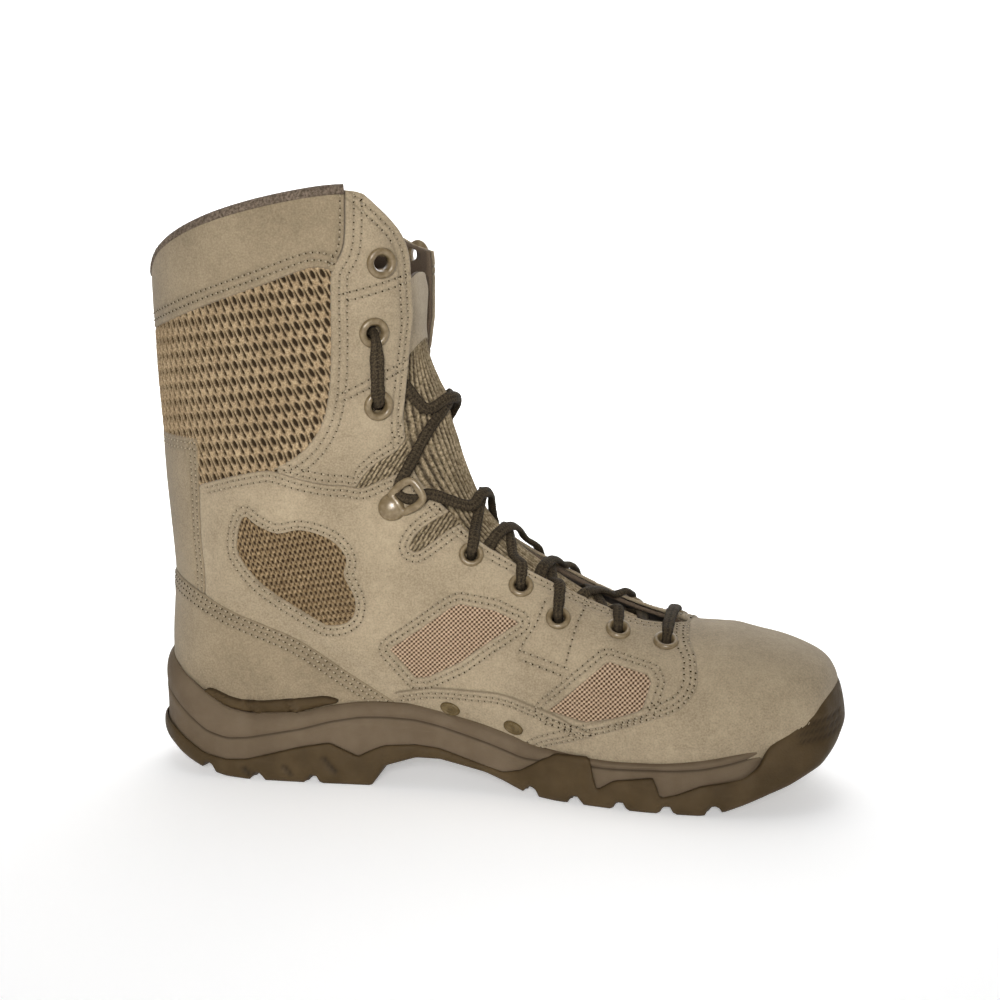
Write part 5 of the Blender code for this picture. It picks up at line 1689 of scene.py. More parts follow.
class Pattern(Enum):
    """Surface patterns of the fabric windows."""

    SPACER = LatticeRelief((4.1, 0.55), (2.3, -6.6), (
        (0.0, 0.0, 1.00, 2.10), (0.44, 0.47, 0.62, 1.30), (0.45, 0.22, 0.44, 3.1)))
    KNIT = LatticeRelief((2.2, 0.30), (1.1, -3.1), ((0.0, 0.0, 0.62, 1.00), (0.45, 0.42, 0.36, 1.05)))
    WEAVE = WeaveRelief()
    RIB = RibRelief()


@dataclass
class FabricWindow:
    """A fabric panel that shows through a window of the overlays."""

    name: str
    outline: Array
    pattern: Pattern
    finish: Material
    step: float
    margin: float = 1.6
    reach: float = 4.0
    lift: float = 0.62
    edge_run: float = 2.6

    def grid(self, coarse: SideGrid) -> tuple[Array, Array, Array, Array]:
        """A fine grid over the window.

        Args:
            coarse: The grid of the side that the window is on.

        Returns:
            Points, normals, triangles, and each point's way along its row from the back.
        """
        gap = coarse.region(self.outline).reshape(coarse.shape)
        rows, columns = np.nonzero(gap > -self.reach)
        tall_part, wide_part = slice(rows.min(), rows.max() + 1), slice(columns.min(), columns.max() + 1)
        part = coarse.points[tall_part, wide_part]
        tall = np.linalg.norm(np.diff(part, axis=0), axis=2).sum(0).max()
        across = np.linalg.norm(np.diff(part, axis=1), axis=2)
        ends = coarse.sections[rows.min()], coarse.sections[rows.max()]
        sections = np.linspace(*ends, int(tall / self.step) + 2)
        track = np.concatenate([[0.0], np.cumsum(across.mean(0))])
        even = np.linspace(0, track[-1], int(across.sum(1).max() / self.step) + 2)
        shares = np.interp(even, track, coarse.shares[wide_part])
        girth = LAST.edge(sections)[:, None] * shares[None, :]
        points, normals = LAST.surface(sections[:, None], girth, coarse.side)
        lift = sum(crease.lift(points.reshape(-1, 3)[:, [0, 2]], coarse.side) for crease in CREASES)
        points = points + normals * lift.reshape(girth.shape)[..., None]
        steps = np.linalg.norm(np.diff(points[..., :2], axis=1), axis=2)
        run = np.concatenate([np.zeros((len(sections), 1)), np.cumsum(steps, axis=1)], axis=1)
        tris = side_tris(*girth.shape, coarse.side)
        return points.reshape(-1, 3), normals.reshape(-1, 3), tris, run.ravel()

    def build(self, coarse: SideGrid) -> None:
        """Makes the panel with its relief."""
        points, normals, tris, run = self.grid(coarse)
        flat = points[:, [0, 2]]
        curve = Curve(self.outline, True)
        gap, _ = curve.distance(flat)
        inside = np.where(curve.inside(flat), gap, -gap) + self.margin
        sheet = Sheet(np.column_stack([points, normals, inside, run]), {"inside": 6, "run": 7}, tris)
        sheet.trim()
        x, z = sheet.points[:, 0], sheet.points[:, 2]
        # The hole share also paints shade into the mesh holes, the gaps between weave dots and the rib slits.
        high, hole = self.pattern.value.at(sheet.get("run") if self.pattern is Pattern.SPACER else x, z)
        edge = smoothstep(0.0, self.edge_run, sheet.get("inside"))
        places = sheet.points + sheet.normals * (self.lift + high * edge)[:, None]
        name = self.name + "_" + coarse.side.word
        dress(mesh_object(name, places, sheet.tris, [self.finish], None, {"hole": hole}), Slot.MESH)


# Collar, tongue and insole


@dataclass
class Collar:
    """The tape that is rolled over the collar edge, round the back from facing to facing."""

    finishes: Finishes
    profile: Pairs = (
        (0.4, -1.5), (1.9, -1.5), (2.5, -1.1), (2.6, -0.4), (2.5, 0.4), (2.0, 1.4), (1.0, 2.3), (-0.5, 2.7),
        (-1.9, 2.3), (-2.9, 1.2), (-3.3, -0.6), (-3.4, -3.0), (-3.2, -4.8), (-2.4, -5.2))
    end_x: float = -57.8
    step: float = 0.9
    samples: int = 500
    below: float = 0.08
    ripple: float = 0.12
    ripple_turn: float = 1.7
    shade: float = 0.35
    shade_under: float = -4.0

    def build(self) -> None:
        """Sweeps the tape's profile along the collar."""
        tracks = []
        girth = LAST.edge(COLLAR_STOP) * np.linspace(0, 1, self.samples)
        for side in BOTH:
            top, normal = LAST.surface(COLLAR_STOP, girth, side)
            below, _ = LAST.surface(COLLAR_STOP - self.below, girth, side)
            track = np.concatenate([top, normal, unit(top - below)], 1)
            track = track[top[:, 0] < self.end_x]
            tracks.append(track[::-1] if side is Side.MEDIAL else track[1:])
        track = resample(np.concatenate(tracks), self.step)
        place, normal, up = track[:, :3], unit(track[:, 3:6]), unit(track[:, 6:9])
        rings = np.stack([place + normal * out + up * rise for out, rise in self.profile], 1)
        ripple = self.ripple * np.sin(np.arange(len(rings)) * self.ripple_turn)
        points, tris = ring_mesh(rings + ripple[:, None, None] * normal[:, None, :])
        tris = np.concatenate([tris, end_caps(len(rings), len(self.profile))])
        # Painted shade on the tape's underside, carried by the hole attribute.
        under = np.array([rise < self.shade_under for _, rise in self.profile])
        hole = np.tile(self.shade * under, len(rings))
        obj = mesh_object("collar_tape", points, tris, [self.finishes.binding], None, {"hole": hole})
        dress(obj, Slot.BINDING, "collar_binding")


@dataclass
class Tongue:
    """The padded tongue under the lace: ribbed mesh with a suede patch at its top."""

    finishes: Finishes
    start: float = 4.7
    stop: float = 17.5
    margin: float = 11.0
    wide_limit: float = 0.86
    thick: float = 3.0
    patch_from: float = 15.55
    patch_fade: float = 0.1
    patch_high: float = 0.5
    rib: float = 2.1
    rib_high: float = 0.30
    slit: Pair = (-0.1, 0.6)
    slit_deep: float = 0.45
    swell: float = 0.2
    swell_turn: float = 28.0
    edge_share: float = 0.10
    edge_least: float = 0.02
    end_run: float = 0.5
    rows: int = 126
    columns: int = 121

    @staticmethod
    def lift(section: Array, share: Array) -> Array:
        """Height of the tongue's outer face over the last: share is 0 at the middle and 1 at the flap."""
        bulge = np.interp(section, TONGUE_BULGE_AT, TONGUE_BULGE)
        sink = np.interp(section, TONGUE_SINK_AT, TONGUE_SINK)
        return bulge * np.maximum(0, 1 - share**2) - WALL - TONGUE_GAP - sink

    def build(self) -> None:
        """Makes the tongue as a closed pad."""
        sections = np.linspace(self.start, self.stop, self.rows)
        across = np.linspace(-1, 1, self.columns)
        throat = LAST.throat(sections)
        wide = np.minimum(throat + self.margin, self.wide_limit * LAST.along("wide_half", sections))
        half = np.abs(across)[None, :] * wide[:, None]
        girth = LAST.girth_at(sections[:, None], half)
        lift = self.lift(sections[:, None], half / np.maximum(throat, 1.0)[:, None])
        both = [LAST.surface(sections[:, None], girth, side, False) for side in BOTH]
        medial = (across < 0)[None, :, None]
        base = np.where(medial, both[0][0], both[1][0])
        normal = np.where(medial, both[0][1], both[1][1])
        middle = np.argmin(np.abs(across))
        normal[:, middle] = unit(both[0][1][:, middle] + both[1][1][:, middle])
        offset = across[None, :] * wide[:, None]
        mesh_part = 1 - smoothstep(self.patch_from - self.patch_fade, self.patch_from, sections)[:, None]
        wave = np.cos(2 * np.pi * offset / self.rib)
        beat = np.cos(sections[:, None] * self.swell_turn + np.pi * np.round(offset / self.rib))
        slit = smoothstep(*self.slit, -wave) * (1 - self.swell + self.swell * beat)
        edge = smoothstep(0.0, self.edge_share, 1 - np.abs(across))[None, :]
        edge = edge * smoothstep(0.0, self.end_run, self.stop - sections)[:, None]
        ribs = self.rib_high * wave - self.slit_deep * slit
        relief = mesh_part * ribs + self.patch_high * (1 - mesh_part)
        core = lift - self.thick / 2
        top = core + (relief + self.thick / 2) * np.sqrt(np.maximum(edge, self.edge_least))
        tris = grid_tris(*girth.shape)[:, ::-1]
        sheet = Sheet(np.column_stack([base.reshape(-1, 3), normal.reshape(-1, 3)]), {}, tris)
        points, faces, outer = sheet.solid(top.ravel(), (lift - self.thick).ravel())
        patch = np.repeat(sections > self.patch_from, self.columns)
        index = np.full(len(faces), 2)
        index[:outer] = np.where(patch[tris].all(1), 1, 0)
        # Painted shade in the rib slits, carried by the hole attribute.
        hole = np.concatenate([(slit * mesh_part).ravel(), np.zeros(slit.size)])
        wear = [self.finishes.ribbed, self.finishes.suede, self.finishes.lining]
        fields = {"hole": hole, "seam": np.zeros(len(hole))}
        obj = mesh_object("tongue_pad", points, faces, wear, index, fields)
        dress(obj, Slot.MESH, "tongue")


@dataclass
class Insole:
    """The footbed board inside, with a soft rounded edge and a cupped heel."""

    finishes: Finishes
    thick: float = 4.0
    inset: float = 4.2
    sink: float = 0.2
    toe_gap: float = 0.25
    heel_gap: float = 0.15
    edge_thick: float = 0.55
    edge_share: float = 0.12
    cup_high: float = 2.4
    cup_share: float = 0.18
    cup_sections: Pair = (8.5, 12.0)
    rows: int = 110
    columns: int = 25

    def build(self) -> None:
        """Makes the board as a closed slab."""
        sections = np.linspace(self.toe_gap, HEEL_BACK - self.heel_gap, self.rows)
        edges = []
        for side in BOTH:
            place, normal = LAST.surface(sections, np.zeros(len(sections)), side)
            edges.append(place - normal * self.inset)
        share = np.linspace(0, 1, self.columns)[None, :]
        lower = edges[0][:, None] * (1 - share[..., None]) + edges[1][:, None] * share[..., None]
        base = LAST.along("base_z", sections)[:, None] - self.sink
        rim = np.minimum(share, 1 - share) * 2
        cup = self.cup_high * np.exp(-rim / self.cup_share)
        cup = cup * smoothstep(*self.cup_sections, sections)[:, None]
        rounded = self.edge_thick + (1 - self.edge_thick) * np.sqrt(np.clip(rim / self.edge_share, 0, 1))
        lower[..., 2] = base
        upper = lower.copy()
        upper[..., 2] = base + self.thick * rounded + cup
        count = self.rows * self.columns
        shell = Sheet(np.zeros((count, 6)), {}, grid_tris(self.rows, self.columns))
        _, faces, _ = shell.solid(np.zeros(count), 0.0)
        points = np.concatenate([upper.reshape(-1, 3), lower.reshape(-1, 3)])
        fields = {"hole": np.zeros(len(points))}
        obj = mesh_object("footbed", points, faces, [self.finishes.insole], None, fields)
        dress(obj, Slot.INSOLE, "insole")


# Sole


SHARP_LINES, SHARP_RUN, SOFT_RUN = ("claw", "tread"), 0.9, 2.2
SOFTENING = ((-1.0, 0.25), (0.0, 0.5), (1.0, 0.25))


def sole_level(column: str, x: Array) -> Array:
    """A side line of the sole at stations, with its corners softened."""
    table = SOLE_ROWS[:, SOLE_COLUMNS.index(column)]
    run = SHARP_RUN if column in SHARP_LINES else SOFT_RUN
    return sum(weight * np.interp(x + shift * run, SOLE_ROWS[:, 0], table) for shift, weight in SOFTENING)


@dataclass
class SolePlan:
    """The sole's plan outline at even steps, with outward normals and a spine."""

    step: float = 1.5
    curve_steps: int = 24
    spine_back: float = -118.0
    spine_front: float = 112.0

    def __post_init__(self) -> None:
        """Works the outline out."""
        medial = [(x, m) for x, m, _ in OUTLINE_ROWS]
        lateral = [(x, o) for x, _, o in OUTLINE_ROWS[-2:0:-1]]
        loop = spline(np.array(medial + lateral), self.curve_steps, True)
        loop = resample(np.concatenate([loop, loop[:1]]), self.step)[:-1]
        way = unit(np.roll(loop, -1, axis=0) - np.roll(loop, 1, axis=0))
        normal = np.stack([way[:, 1], -way[:, 0]], 1)
        if np.sum(normal * (loop - loop.mean(0))) < 0:
            normal = -normal
        self.loop, self.normal = loop, normal
        x = np.clip(loop[:, 0], self.spine_back, self.spine_front)
        rows = np.array(OUTLINE_ROWS)[::-1]
        middle = np.interp(x, rows[:, 0], (rows[:, 1] + rows[:, 2]) / 2)
        self.spine = np.stack([x, middle], 1)

    def ring(self, inset: Array | float, z: Array) -> Array:
        """A ring inside the outline at a height."""
        return np.column_stack([self.inner(inset), z])

    def inner(self, inset: Array | float) -> Array:
        """The outline moved inward."""
        return self.loop - self.normal * np.broadcast_to(inset, len(self.loop))[:, None]

    def toward_spine(self, inset: Array | float, share: float) -> Array:
        """Plan places on the way from the moved outline to the spine."""
        return self.inner(inset) * (1 - share) + self.spine * share


GROOVE_STATIONS = (-120.0, -96.0, -70.0, 31.0, 52.0, 73.0, 94.0, 114.0)
GROOVE_SWEEP = np.radians(12.0)
GROOVE_DEEP, GROOVE_HALF, GROOVE_SPINE = 3.2, 2.7, 4.0
GROOVE_EDGE, GROOVE_START = (GROOVE_HALF - 1.3, GROOVE_HALF + 1.0), (-1.0, 0.5)


def groove(places: Array) -> Array:
    """Depth share of the tread's grooves at plan places."""
    found = np.zeros(places.shape[:-1])
    for station in GROOVE_STATIONS:
        for sign in (-1, 1):
            dx, dy = places[..., 0] - station, places[..., 1] - sign * GROOVE_SPINE
            across = np.abs(dx * np.cos(GROOVE_SWEEP) + dy * sign * np.sin(GROOVE_SWEEP))
            cut = (1 - smoothstep(*GROOVE_EDGE, across)) * smoothstep(*GROOVE_START, dy * sign)
            found = np.maximum(found, cut)
    return found


@dataclass
class Outsole:
    """Rubber outsole: lugged tread, claws up the sides, ribs and a toe bumper."""

    finishes: Finishes
    plan: SolePlan
    inner_rings: int = 24
    wall_rings: int = 20
    bevel: float = 2.2
    bevel_run: float = 1.3
    lip: float = 1.1
    lip_run: float = 0.7
    lip_drop: float = 0.5
    claw_least: float = 3.0
    wall_least: float = 2.0
    tread_least: float = 1.0
    notch_in: float = 1.0
    lean: float = 0.4
    bumper_start: float = 122.0
    bumper_end: float = 158.0
    bumper_lean: float = 3.2
    ribs: tuple[Triple, ...] = ((-107.5, 4.0, 5.6), (-88.2, 5.6, 6.6), (-69.0, 9.4, 9.6))
    rib_tilt: float = 50.0
    rib_half: float = 1.1
    rib_end: float = 1.0
    rib_deep: float = 0.8
    toe_lines: Floats = (33.0, 36.4, 39.8)
    toe_centre: Pair = (118.0, -9.0)
    toe_half: float = 0.8
    toe_slope: float = 0.05
    toe_level_at: float = -40.0
    toe_from: Pair = (-62.0, -56.0)
    toe_to: Pair = (-20.0, -14.0)
    groove_shade: float = 0.6
    rib_shade: float = 0.7

    def side_ribs(self, x: Array, y: Array, z: Array) -> Array:
        """Depth share of the moulded slits in the side wall and round the toe."""
        deep = np.zeros_like(x)
        tilt = np.radians(self.rib_tilt)
        for at, high, length in self.ribs:
            u = (x - at) * np.cos(tilt) - (z - high) * np.sin(tilt)
            v = (x - at) * np.sin(tilt) + (z - high) * np.cos(tilt)
            ends = (length / 2 - self.rib_end, length / 2 + self.rib_end)
            deep = np.maximum(deep, bell(v, self.rib_half) * (1 - smoothstep(*ends, np.abs(u))))
        angle = np.degrees(np.arctan2(y - self.toe_centre[1], x - self.toe_centre[0]))
        round_toe = smoothstep(*self.toe_from, angle) * (1 - smoothstep(*self.toe_to, angle))
        for at in self.toe_lines:
            rise = z - at - self.toe_slope * (angle - self.toe_level_at)
            deep = np.maximum(deep, bell(rise, self.toe_half) * round_toe)
        return deep

    def build(self) -> None:
        """Stacks rings from the tread's spine out, up the wall and back in over the tray."""
        plan = self.plan
        x, y = plan.loop.T
        tread, claw, core, thick = (sole_level(w, x) for w in ("tread", "claw", "core", "thick"))
        claw = np.maximum(claw, tread + self.claw_least)
        notch = GROOVE_DEEP * groove(plan.inner(self.notch_in))
        rings = []
        for share in np.linspace(1, 0, self.inner_rings):
            spot = plan.toward_spine(self.bevel, share)
            z = sole_level("tread", spot[:, 0]) + GROOVE_DEEP * groove(spot)
            z = np.minimum(z, sole_level("core", spot[:, 0]) - self.tread_least)
            rings.append(np.column_stack([spot, z]))
        low = np.minimum(tread + notch, claw - self.wall_least)
        bumper = np.clip((x - self.bumper_start) / (self.bumper_end - self.bumper_start), 0, 1)
        lean = self.lean + self.bumper_lean * bumper
        for t in np.linspace(0.0, 1.0, self.wall_rings)[1:]:
            z = low + (claw - low) * t
            inset = self.bevel * np.exp(-(z - low) / self.bevel_run) + lean * t**2
            inset = inset + self.lip * np.exp(-(claw - z) / self.lip_run)
            rings.append(plan.ring(inset + self.rib_deep * self.side_ribs(x, y, z), z))
        rings += [plan.ring(thick, z) for z in (claw - self.lip_drop, core)]
        for share in (0.5, 1.0):
            spot = plan.toward_spine(thick, share)
            rings.append(np.column_stack([spot, sole_level("core", spot[:, 0])]))
        rings = np.array(rings)
        points, tris = ring_mesh(rings)
        inner, wall = rings[: self.inner_rings], rings[self.inner_rings:]
        # Painted shade in the tread's grooves and the wall's slits, carried by the seam attribute.
        shade = np.concatenate([self.groove_shade * groove(inner[..., :2]).ravel(),
                                self.rib_shade * self.side_ribs(*np.moveaxis(wall, -1, 0)).ravel()])
        obj = mesh_object("outsole_rubber", points, tris, [self.finishes.outsole], None, {"seam": shade})
        dress(obj, Slot.OUTSOLE, "outsole")


@dataclass
class Midsole:
    """Foam midsole: a lower band, a crease line and a bead that wraps the foot."""

    finishes: Finishes
    plan: SolePlan
    clearance: float = 0.3
    core_gap: float = 0.4
    band_least: float = 2.5
    band_hollow: float = 0.35
    band_rings: int = 9
    crease_deep: float = 1.0
    crease_half: float = 0.7
    crease_shade: float = 0.85
    bead_least: float = 3.0
    bead_in: float = 0.2
    bead_out: float = 0.9
    bead_peak: float = 1.1
    bead_full: float = 0.8
    bead_lip: float = 1.5
    bead_rings: int = 13
    rim_steps: Quads = ((1.9, -0.6, 0.25, 0.5), (2.0, 0.3, 1.6, 0.8))
    tray_in: float = 8.0
    tray_rise: float = 1.0
    tray_under_crease: float = 6.0
    tray_under_rim: float = 4.0
    ray_start: float = 30.0
    inset_guess: float = 9.0
    inset_limit: float = 14.0
    smooth: int = 2

    def upper_inset(self, z: Array, tree: BVHTree) -> Array:
        """How far inside the outline the upper stands at a height, smoothed along the outline."""
        found = np.full(len(z), self.inset_guess)
        for k, (place, way) in enumerate(zip(self.plan.loop, self.plan.normal)):
            start = Vector((*(place + way * self.ray_start), z[k]))
            hit = tree.ray_cast(start, Vector((-way[0], -way[1], 0)))
            if hit[0] is not None:
                found[k] = min(hit[3] - self.ray_start, self.inset_limit)
        count = 2 * self.smooth + 1
        around = np.concatenate([found[-self.smooth:], found, found[: self.smooth]])
        return np.convolve(around, np.ones(count) / count, "valid")

    def build(self, tree: BVHTree) -> None:
        """Stacks rings up the wall, over the rim and down inside."""
        plan, x = self.plan, self.plan.loop[:, 0]
        lines = ("rim", "crease", "core", "thick", "lean")
        rim, crease, core, thick, lean = (sole_level(line, x) for line in lines)
        inset = thick + self.clearance
        core = core + self.core_gap
        crease = np.maximum(crease, core + self.band_least)
        rim = np.maximum(rim, crease + self.bead_least)
        parts: list[tuple[Array, float]] = []
        for t in np.linspace(0, 1, self.band_rings):
            z = core + (crease - self.crease_half - core) * t
            parts.append((plan.ring(inset + self.band_hollow * np.sin(np.pi * t), z), 0.0))
        parts.append((plan.ring(inset + self.crease_deep, crease), self.crease_shade))
        for t in np.linspace(0, 1, self.bead_rings):
            z = crease + self.crease_half + (rim - crease - self.crease_half) * t
            bead = self.bead_out * np.sin(np.pi * min(t * self.bead_peak, 1.0)) ** self.bead_full
            parts.append((plan.ring(inset + self.bead_in - bead + lean * t + self.bead_lip * t**6, z), 0.0))
        inner = self.upper_inset(rim, tree)
        for least, shift, drop, shade in self.rim_steps:
            parts.append((plan.ring(np.maximum(inset + lean + least, inner + shift), rim - drop), shade))
        floor = np.maximum(core + self.tray_rise, crease - self.tray_under_crease)
        for share in (0.35, 1.0):
            spot = plan.toward_spine(self.tray_in, share)
            z = np.minimum(floor, sole_level("rim", spot[:, 0]) - self.tray_under_rim)
            parts.append((np.column_stack([spot, z]), 0.0))
        for share in (1.0, 0.0):
            spot = plan.toward_spine(inset, share)
            parts.append((np.column_stack([spot, sole_level("core", spot[:, 0]) + self.core_gap]), 0.0))
        points, tris = ring_mesh(np.array([ring for ring, _ in parts]))
        # Painted shade along the crease line and at the rim's two steps, carried by the seam attribute.
        fields = {"seam": np.repeat([shade for _, shade in parts], len(x))}
        obj = mesh_object("midsole_foam", points, tris, [self.finishes.midsole], None, fields)
        dress(obj, Slot.MIDSOLE, "midsole")


# Hardware


def placed(matrix: Matrix, points: Array) -> Array:
    """Points moved by a matrix."""
    full = np.array(matrix)
    return points @ full[:3, :3].T + full[:3, 3]


def lathe(profile: Array, sides: int, stretch: float = 1.0) -> Arrays:
    """A closed ring turned from a profile of radius and height.

    Args:
        profile: Closed profile as radius and height.
        sides: Number of steps round.
        stretch: Scale along X.

    Returns:
        Points and triangles, facing outward.
    """
    angle = np.arange(sides) * 2 * np.pi / sides
    radius, high = profile.T
    rings = np.stack([np.outer(np.cos(angle), radius) * stretch, np.outer(np.sin(angle), radius),
                      np.broadcast_to(high, (sides, len(profile)))], -1)
    points, tris = ring_mesh(rings, True)
    return points, tris[:, ::-1]


def sweep(path: Array, ups: Array, widths: Array, heights: Array, sides: int, closed: bool
          ) -> Arrays:
    """An oval tube along a path.

    Args:
        path: Points of the centre line.
        ups: Direction of the oval's short axis at each point.
        widths: Half widths.
        heights: Half heights.
        sides: Points in each oval.
        closed: Whether the path is a loop.

    Returns:
        Points and triangles.
    """
    if closed:
        way = unit(np.roll(path, -1, axis=0) - np.roll(path, 1, axis=0))
    else:
        way = unit(np.gradient(path, axis=0))
    across = unit(np.cross(way, ups))
    over = np.cross(across, way)
    angle = np.arange(sides) * 2 * np.pi / sides
    rings = (path[:, None] + across[:, None] * (np.cos(angle)[None, :] * widths[:, None])[..., None]
             + over[:, None] * (np.sin(angle)[None, :] * heights[:, None])[..., None])
    points, tris = ring_mesh(rings, closed)
    return points, tris if closed else np.concatenate([tris, end_caps(len(path), sides)])


@dataclass
class Hardware:
    """Eyelets, speed hooks and drain vents."""

    finishes: Finishes
    spots: Spots
    seat: float = 1.55
    eyelet_sides: int = 36
    roll_points: int = 9
    roll_in: float = 0.4
    roll_level: float = 0.35
    roll_high: float = 1.35
    flange_foot: Pairs = ((0.0, -0.3), (0.08, 0.1))
    barrel: Pairs = ((0.0, -0.6), (-0.1, -3.2), (0.9, -3.2), (0.9, -0.3))
    hook_turn: float = 36.0
    plate_dome: Pairs = (
        (0.0, 3.4), (0.3, 3.3), (0.55, 2.9), (0.75, 2.3), (0.9, 1.5), (0.98, 0.7), (1.0, 0.1), (0.97, -0.25),
        (0.0, -0.25))
    plate_at: float = -3.9
    plate_front: float = 4.8
    plate_back: float = 6.8
    plate_half: float = 6.2
    plate_sides: int = 48
    loop_arm: tuple[Triple, ...] = ((-1.6, -4.3, 1.8), (1.8, -5.4, 3.0), (5.6, -5.7, 4.1), (8.9, -4.4, 4.9))
    loop_tip: Triple = (9.6, 0.0, 5.3)
    loop_root: Triple = (-1.9, 0.0, 2.2)
    loop_up: Triple = (-0.30, 0.0, 0.95)
    loop_half: Pair = (1.75, 1.1)
    loop_sides: int = 14
    loop_steps: int = 8
    weld_decimals: int = 4
    vent_profile: Pairs = (
        (2.85, -1.6), (2.9, 0.1), (2.75, 0.65), (2.35, 0.9), (2.05, 0.7), (1.85, 0.45), (1.6, 0.62),
        (0.02, 0.85), (0.02, -1.6))
    vent_sides: int = 48
    vent_stretch: float = 1.6
    vent_up: float = 1.1
    vent_turn: float = -17.0

    def eyelets(self) -> None:
        """Rolled eyelets through the flaps."""
        turn = np.linspace(0, np.pi, self.roll_points)
        for side in BOTH:
            for letter, (x, z, flange, bore) in EYELETS.items():
                roll = (flange - bore - self.roll_in) / 2
                crown = np.column_stack([bore + self.roll_in + roll + roll * np.cos(turn),
                                         self.roll_level + self.roll_high * np.sin(turn)])
                outer = [(flange + out, high) for out, high in self.flange_foot]
                inner = [(bore + out, high) for out, high in self.barrel]
                points, tris = lathe(np.concatenate([outer, crown, inner]), self.eyelet_sides)
                points = placed(self.spots.frame(x, z, side, self.seat), points)
                node = "eyelet_%s_%s" % (letter, side.word)
                obj = mesh_object(node + "_ring", points, tris, [self.finishes.hardware])
                dress(obj, Slot.HARDWARE, node)

    def hooks(self) -> None:
        """Speed hooks: a domed egg-shaped plate that runs into a closed loop."""
        angle = np.linspace(0, 2 * np.pi, self.plate_sides, endpoint=False)
        long = np.where(np.cos(angle) > 0, self.plate_front, self.plate_back) * np.cos(angle)
        rings = [np.column_stack([self.plate_at + share * long, share * self.plate_half * np.sin(angle),
                                  np.full(self.plate_sides, high)]) for share, high in self.plate_dome]
        plate, plate_tris = ring_mesh(np.array(rings))
        far_arm = [(x, -y, z) for x, y, z in self.loop_arm[::-1]]
        bend = np.array([*self.loop_arm, self.loop_tip, *far_arm, self.loop_root])
        path = spline(bend, self.loop_steps, True)
        wide, high = (np.full(len(path), half) for half in self.loop_half)
        ups = np.tile(self.loop_up, (len(path), 1))
        loop, loop_tris = sweep(path, ups, wide, high, self.loop_sides, True)
        tris = np.concatenate([plate_tris, loop_tris + len(plate)])
        for side in BOTH:
            matrix = self.spots.frame(*HOOK, side, self.seat, self.hook_turn)
            welded = weld(placed(matrix, np.concatenate([plate, loop])), tris, self.weld_decimals)
            node = "hook_" + side.word
            dress(mesh_object(node + "_loop", *welded, [self.finishes.hardware]), Slot.HARDWARE, node)

    def vents(self) -> None:
        """Oval drain rivets low on the medial side."""
        points, tris = lathe(np.array(self.vent_profile), self.vent_sides, self.vent_stretch)
        for number, (x, z) in enumerate(VENTS, 1):
            matrix = self.spots.frame(x, z, Side.MEDIAL, self.seat + self.vent_up, self.vent_turn)
            node = "vent_%d" % number
            obj = mesh_object(node + "_rivet", placed(matrix, points), tris, [self.finishes.vent])
            dress(obj, Slot.HARDWARE, node)


# Lace


Route = Quads


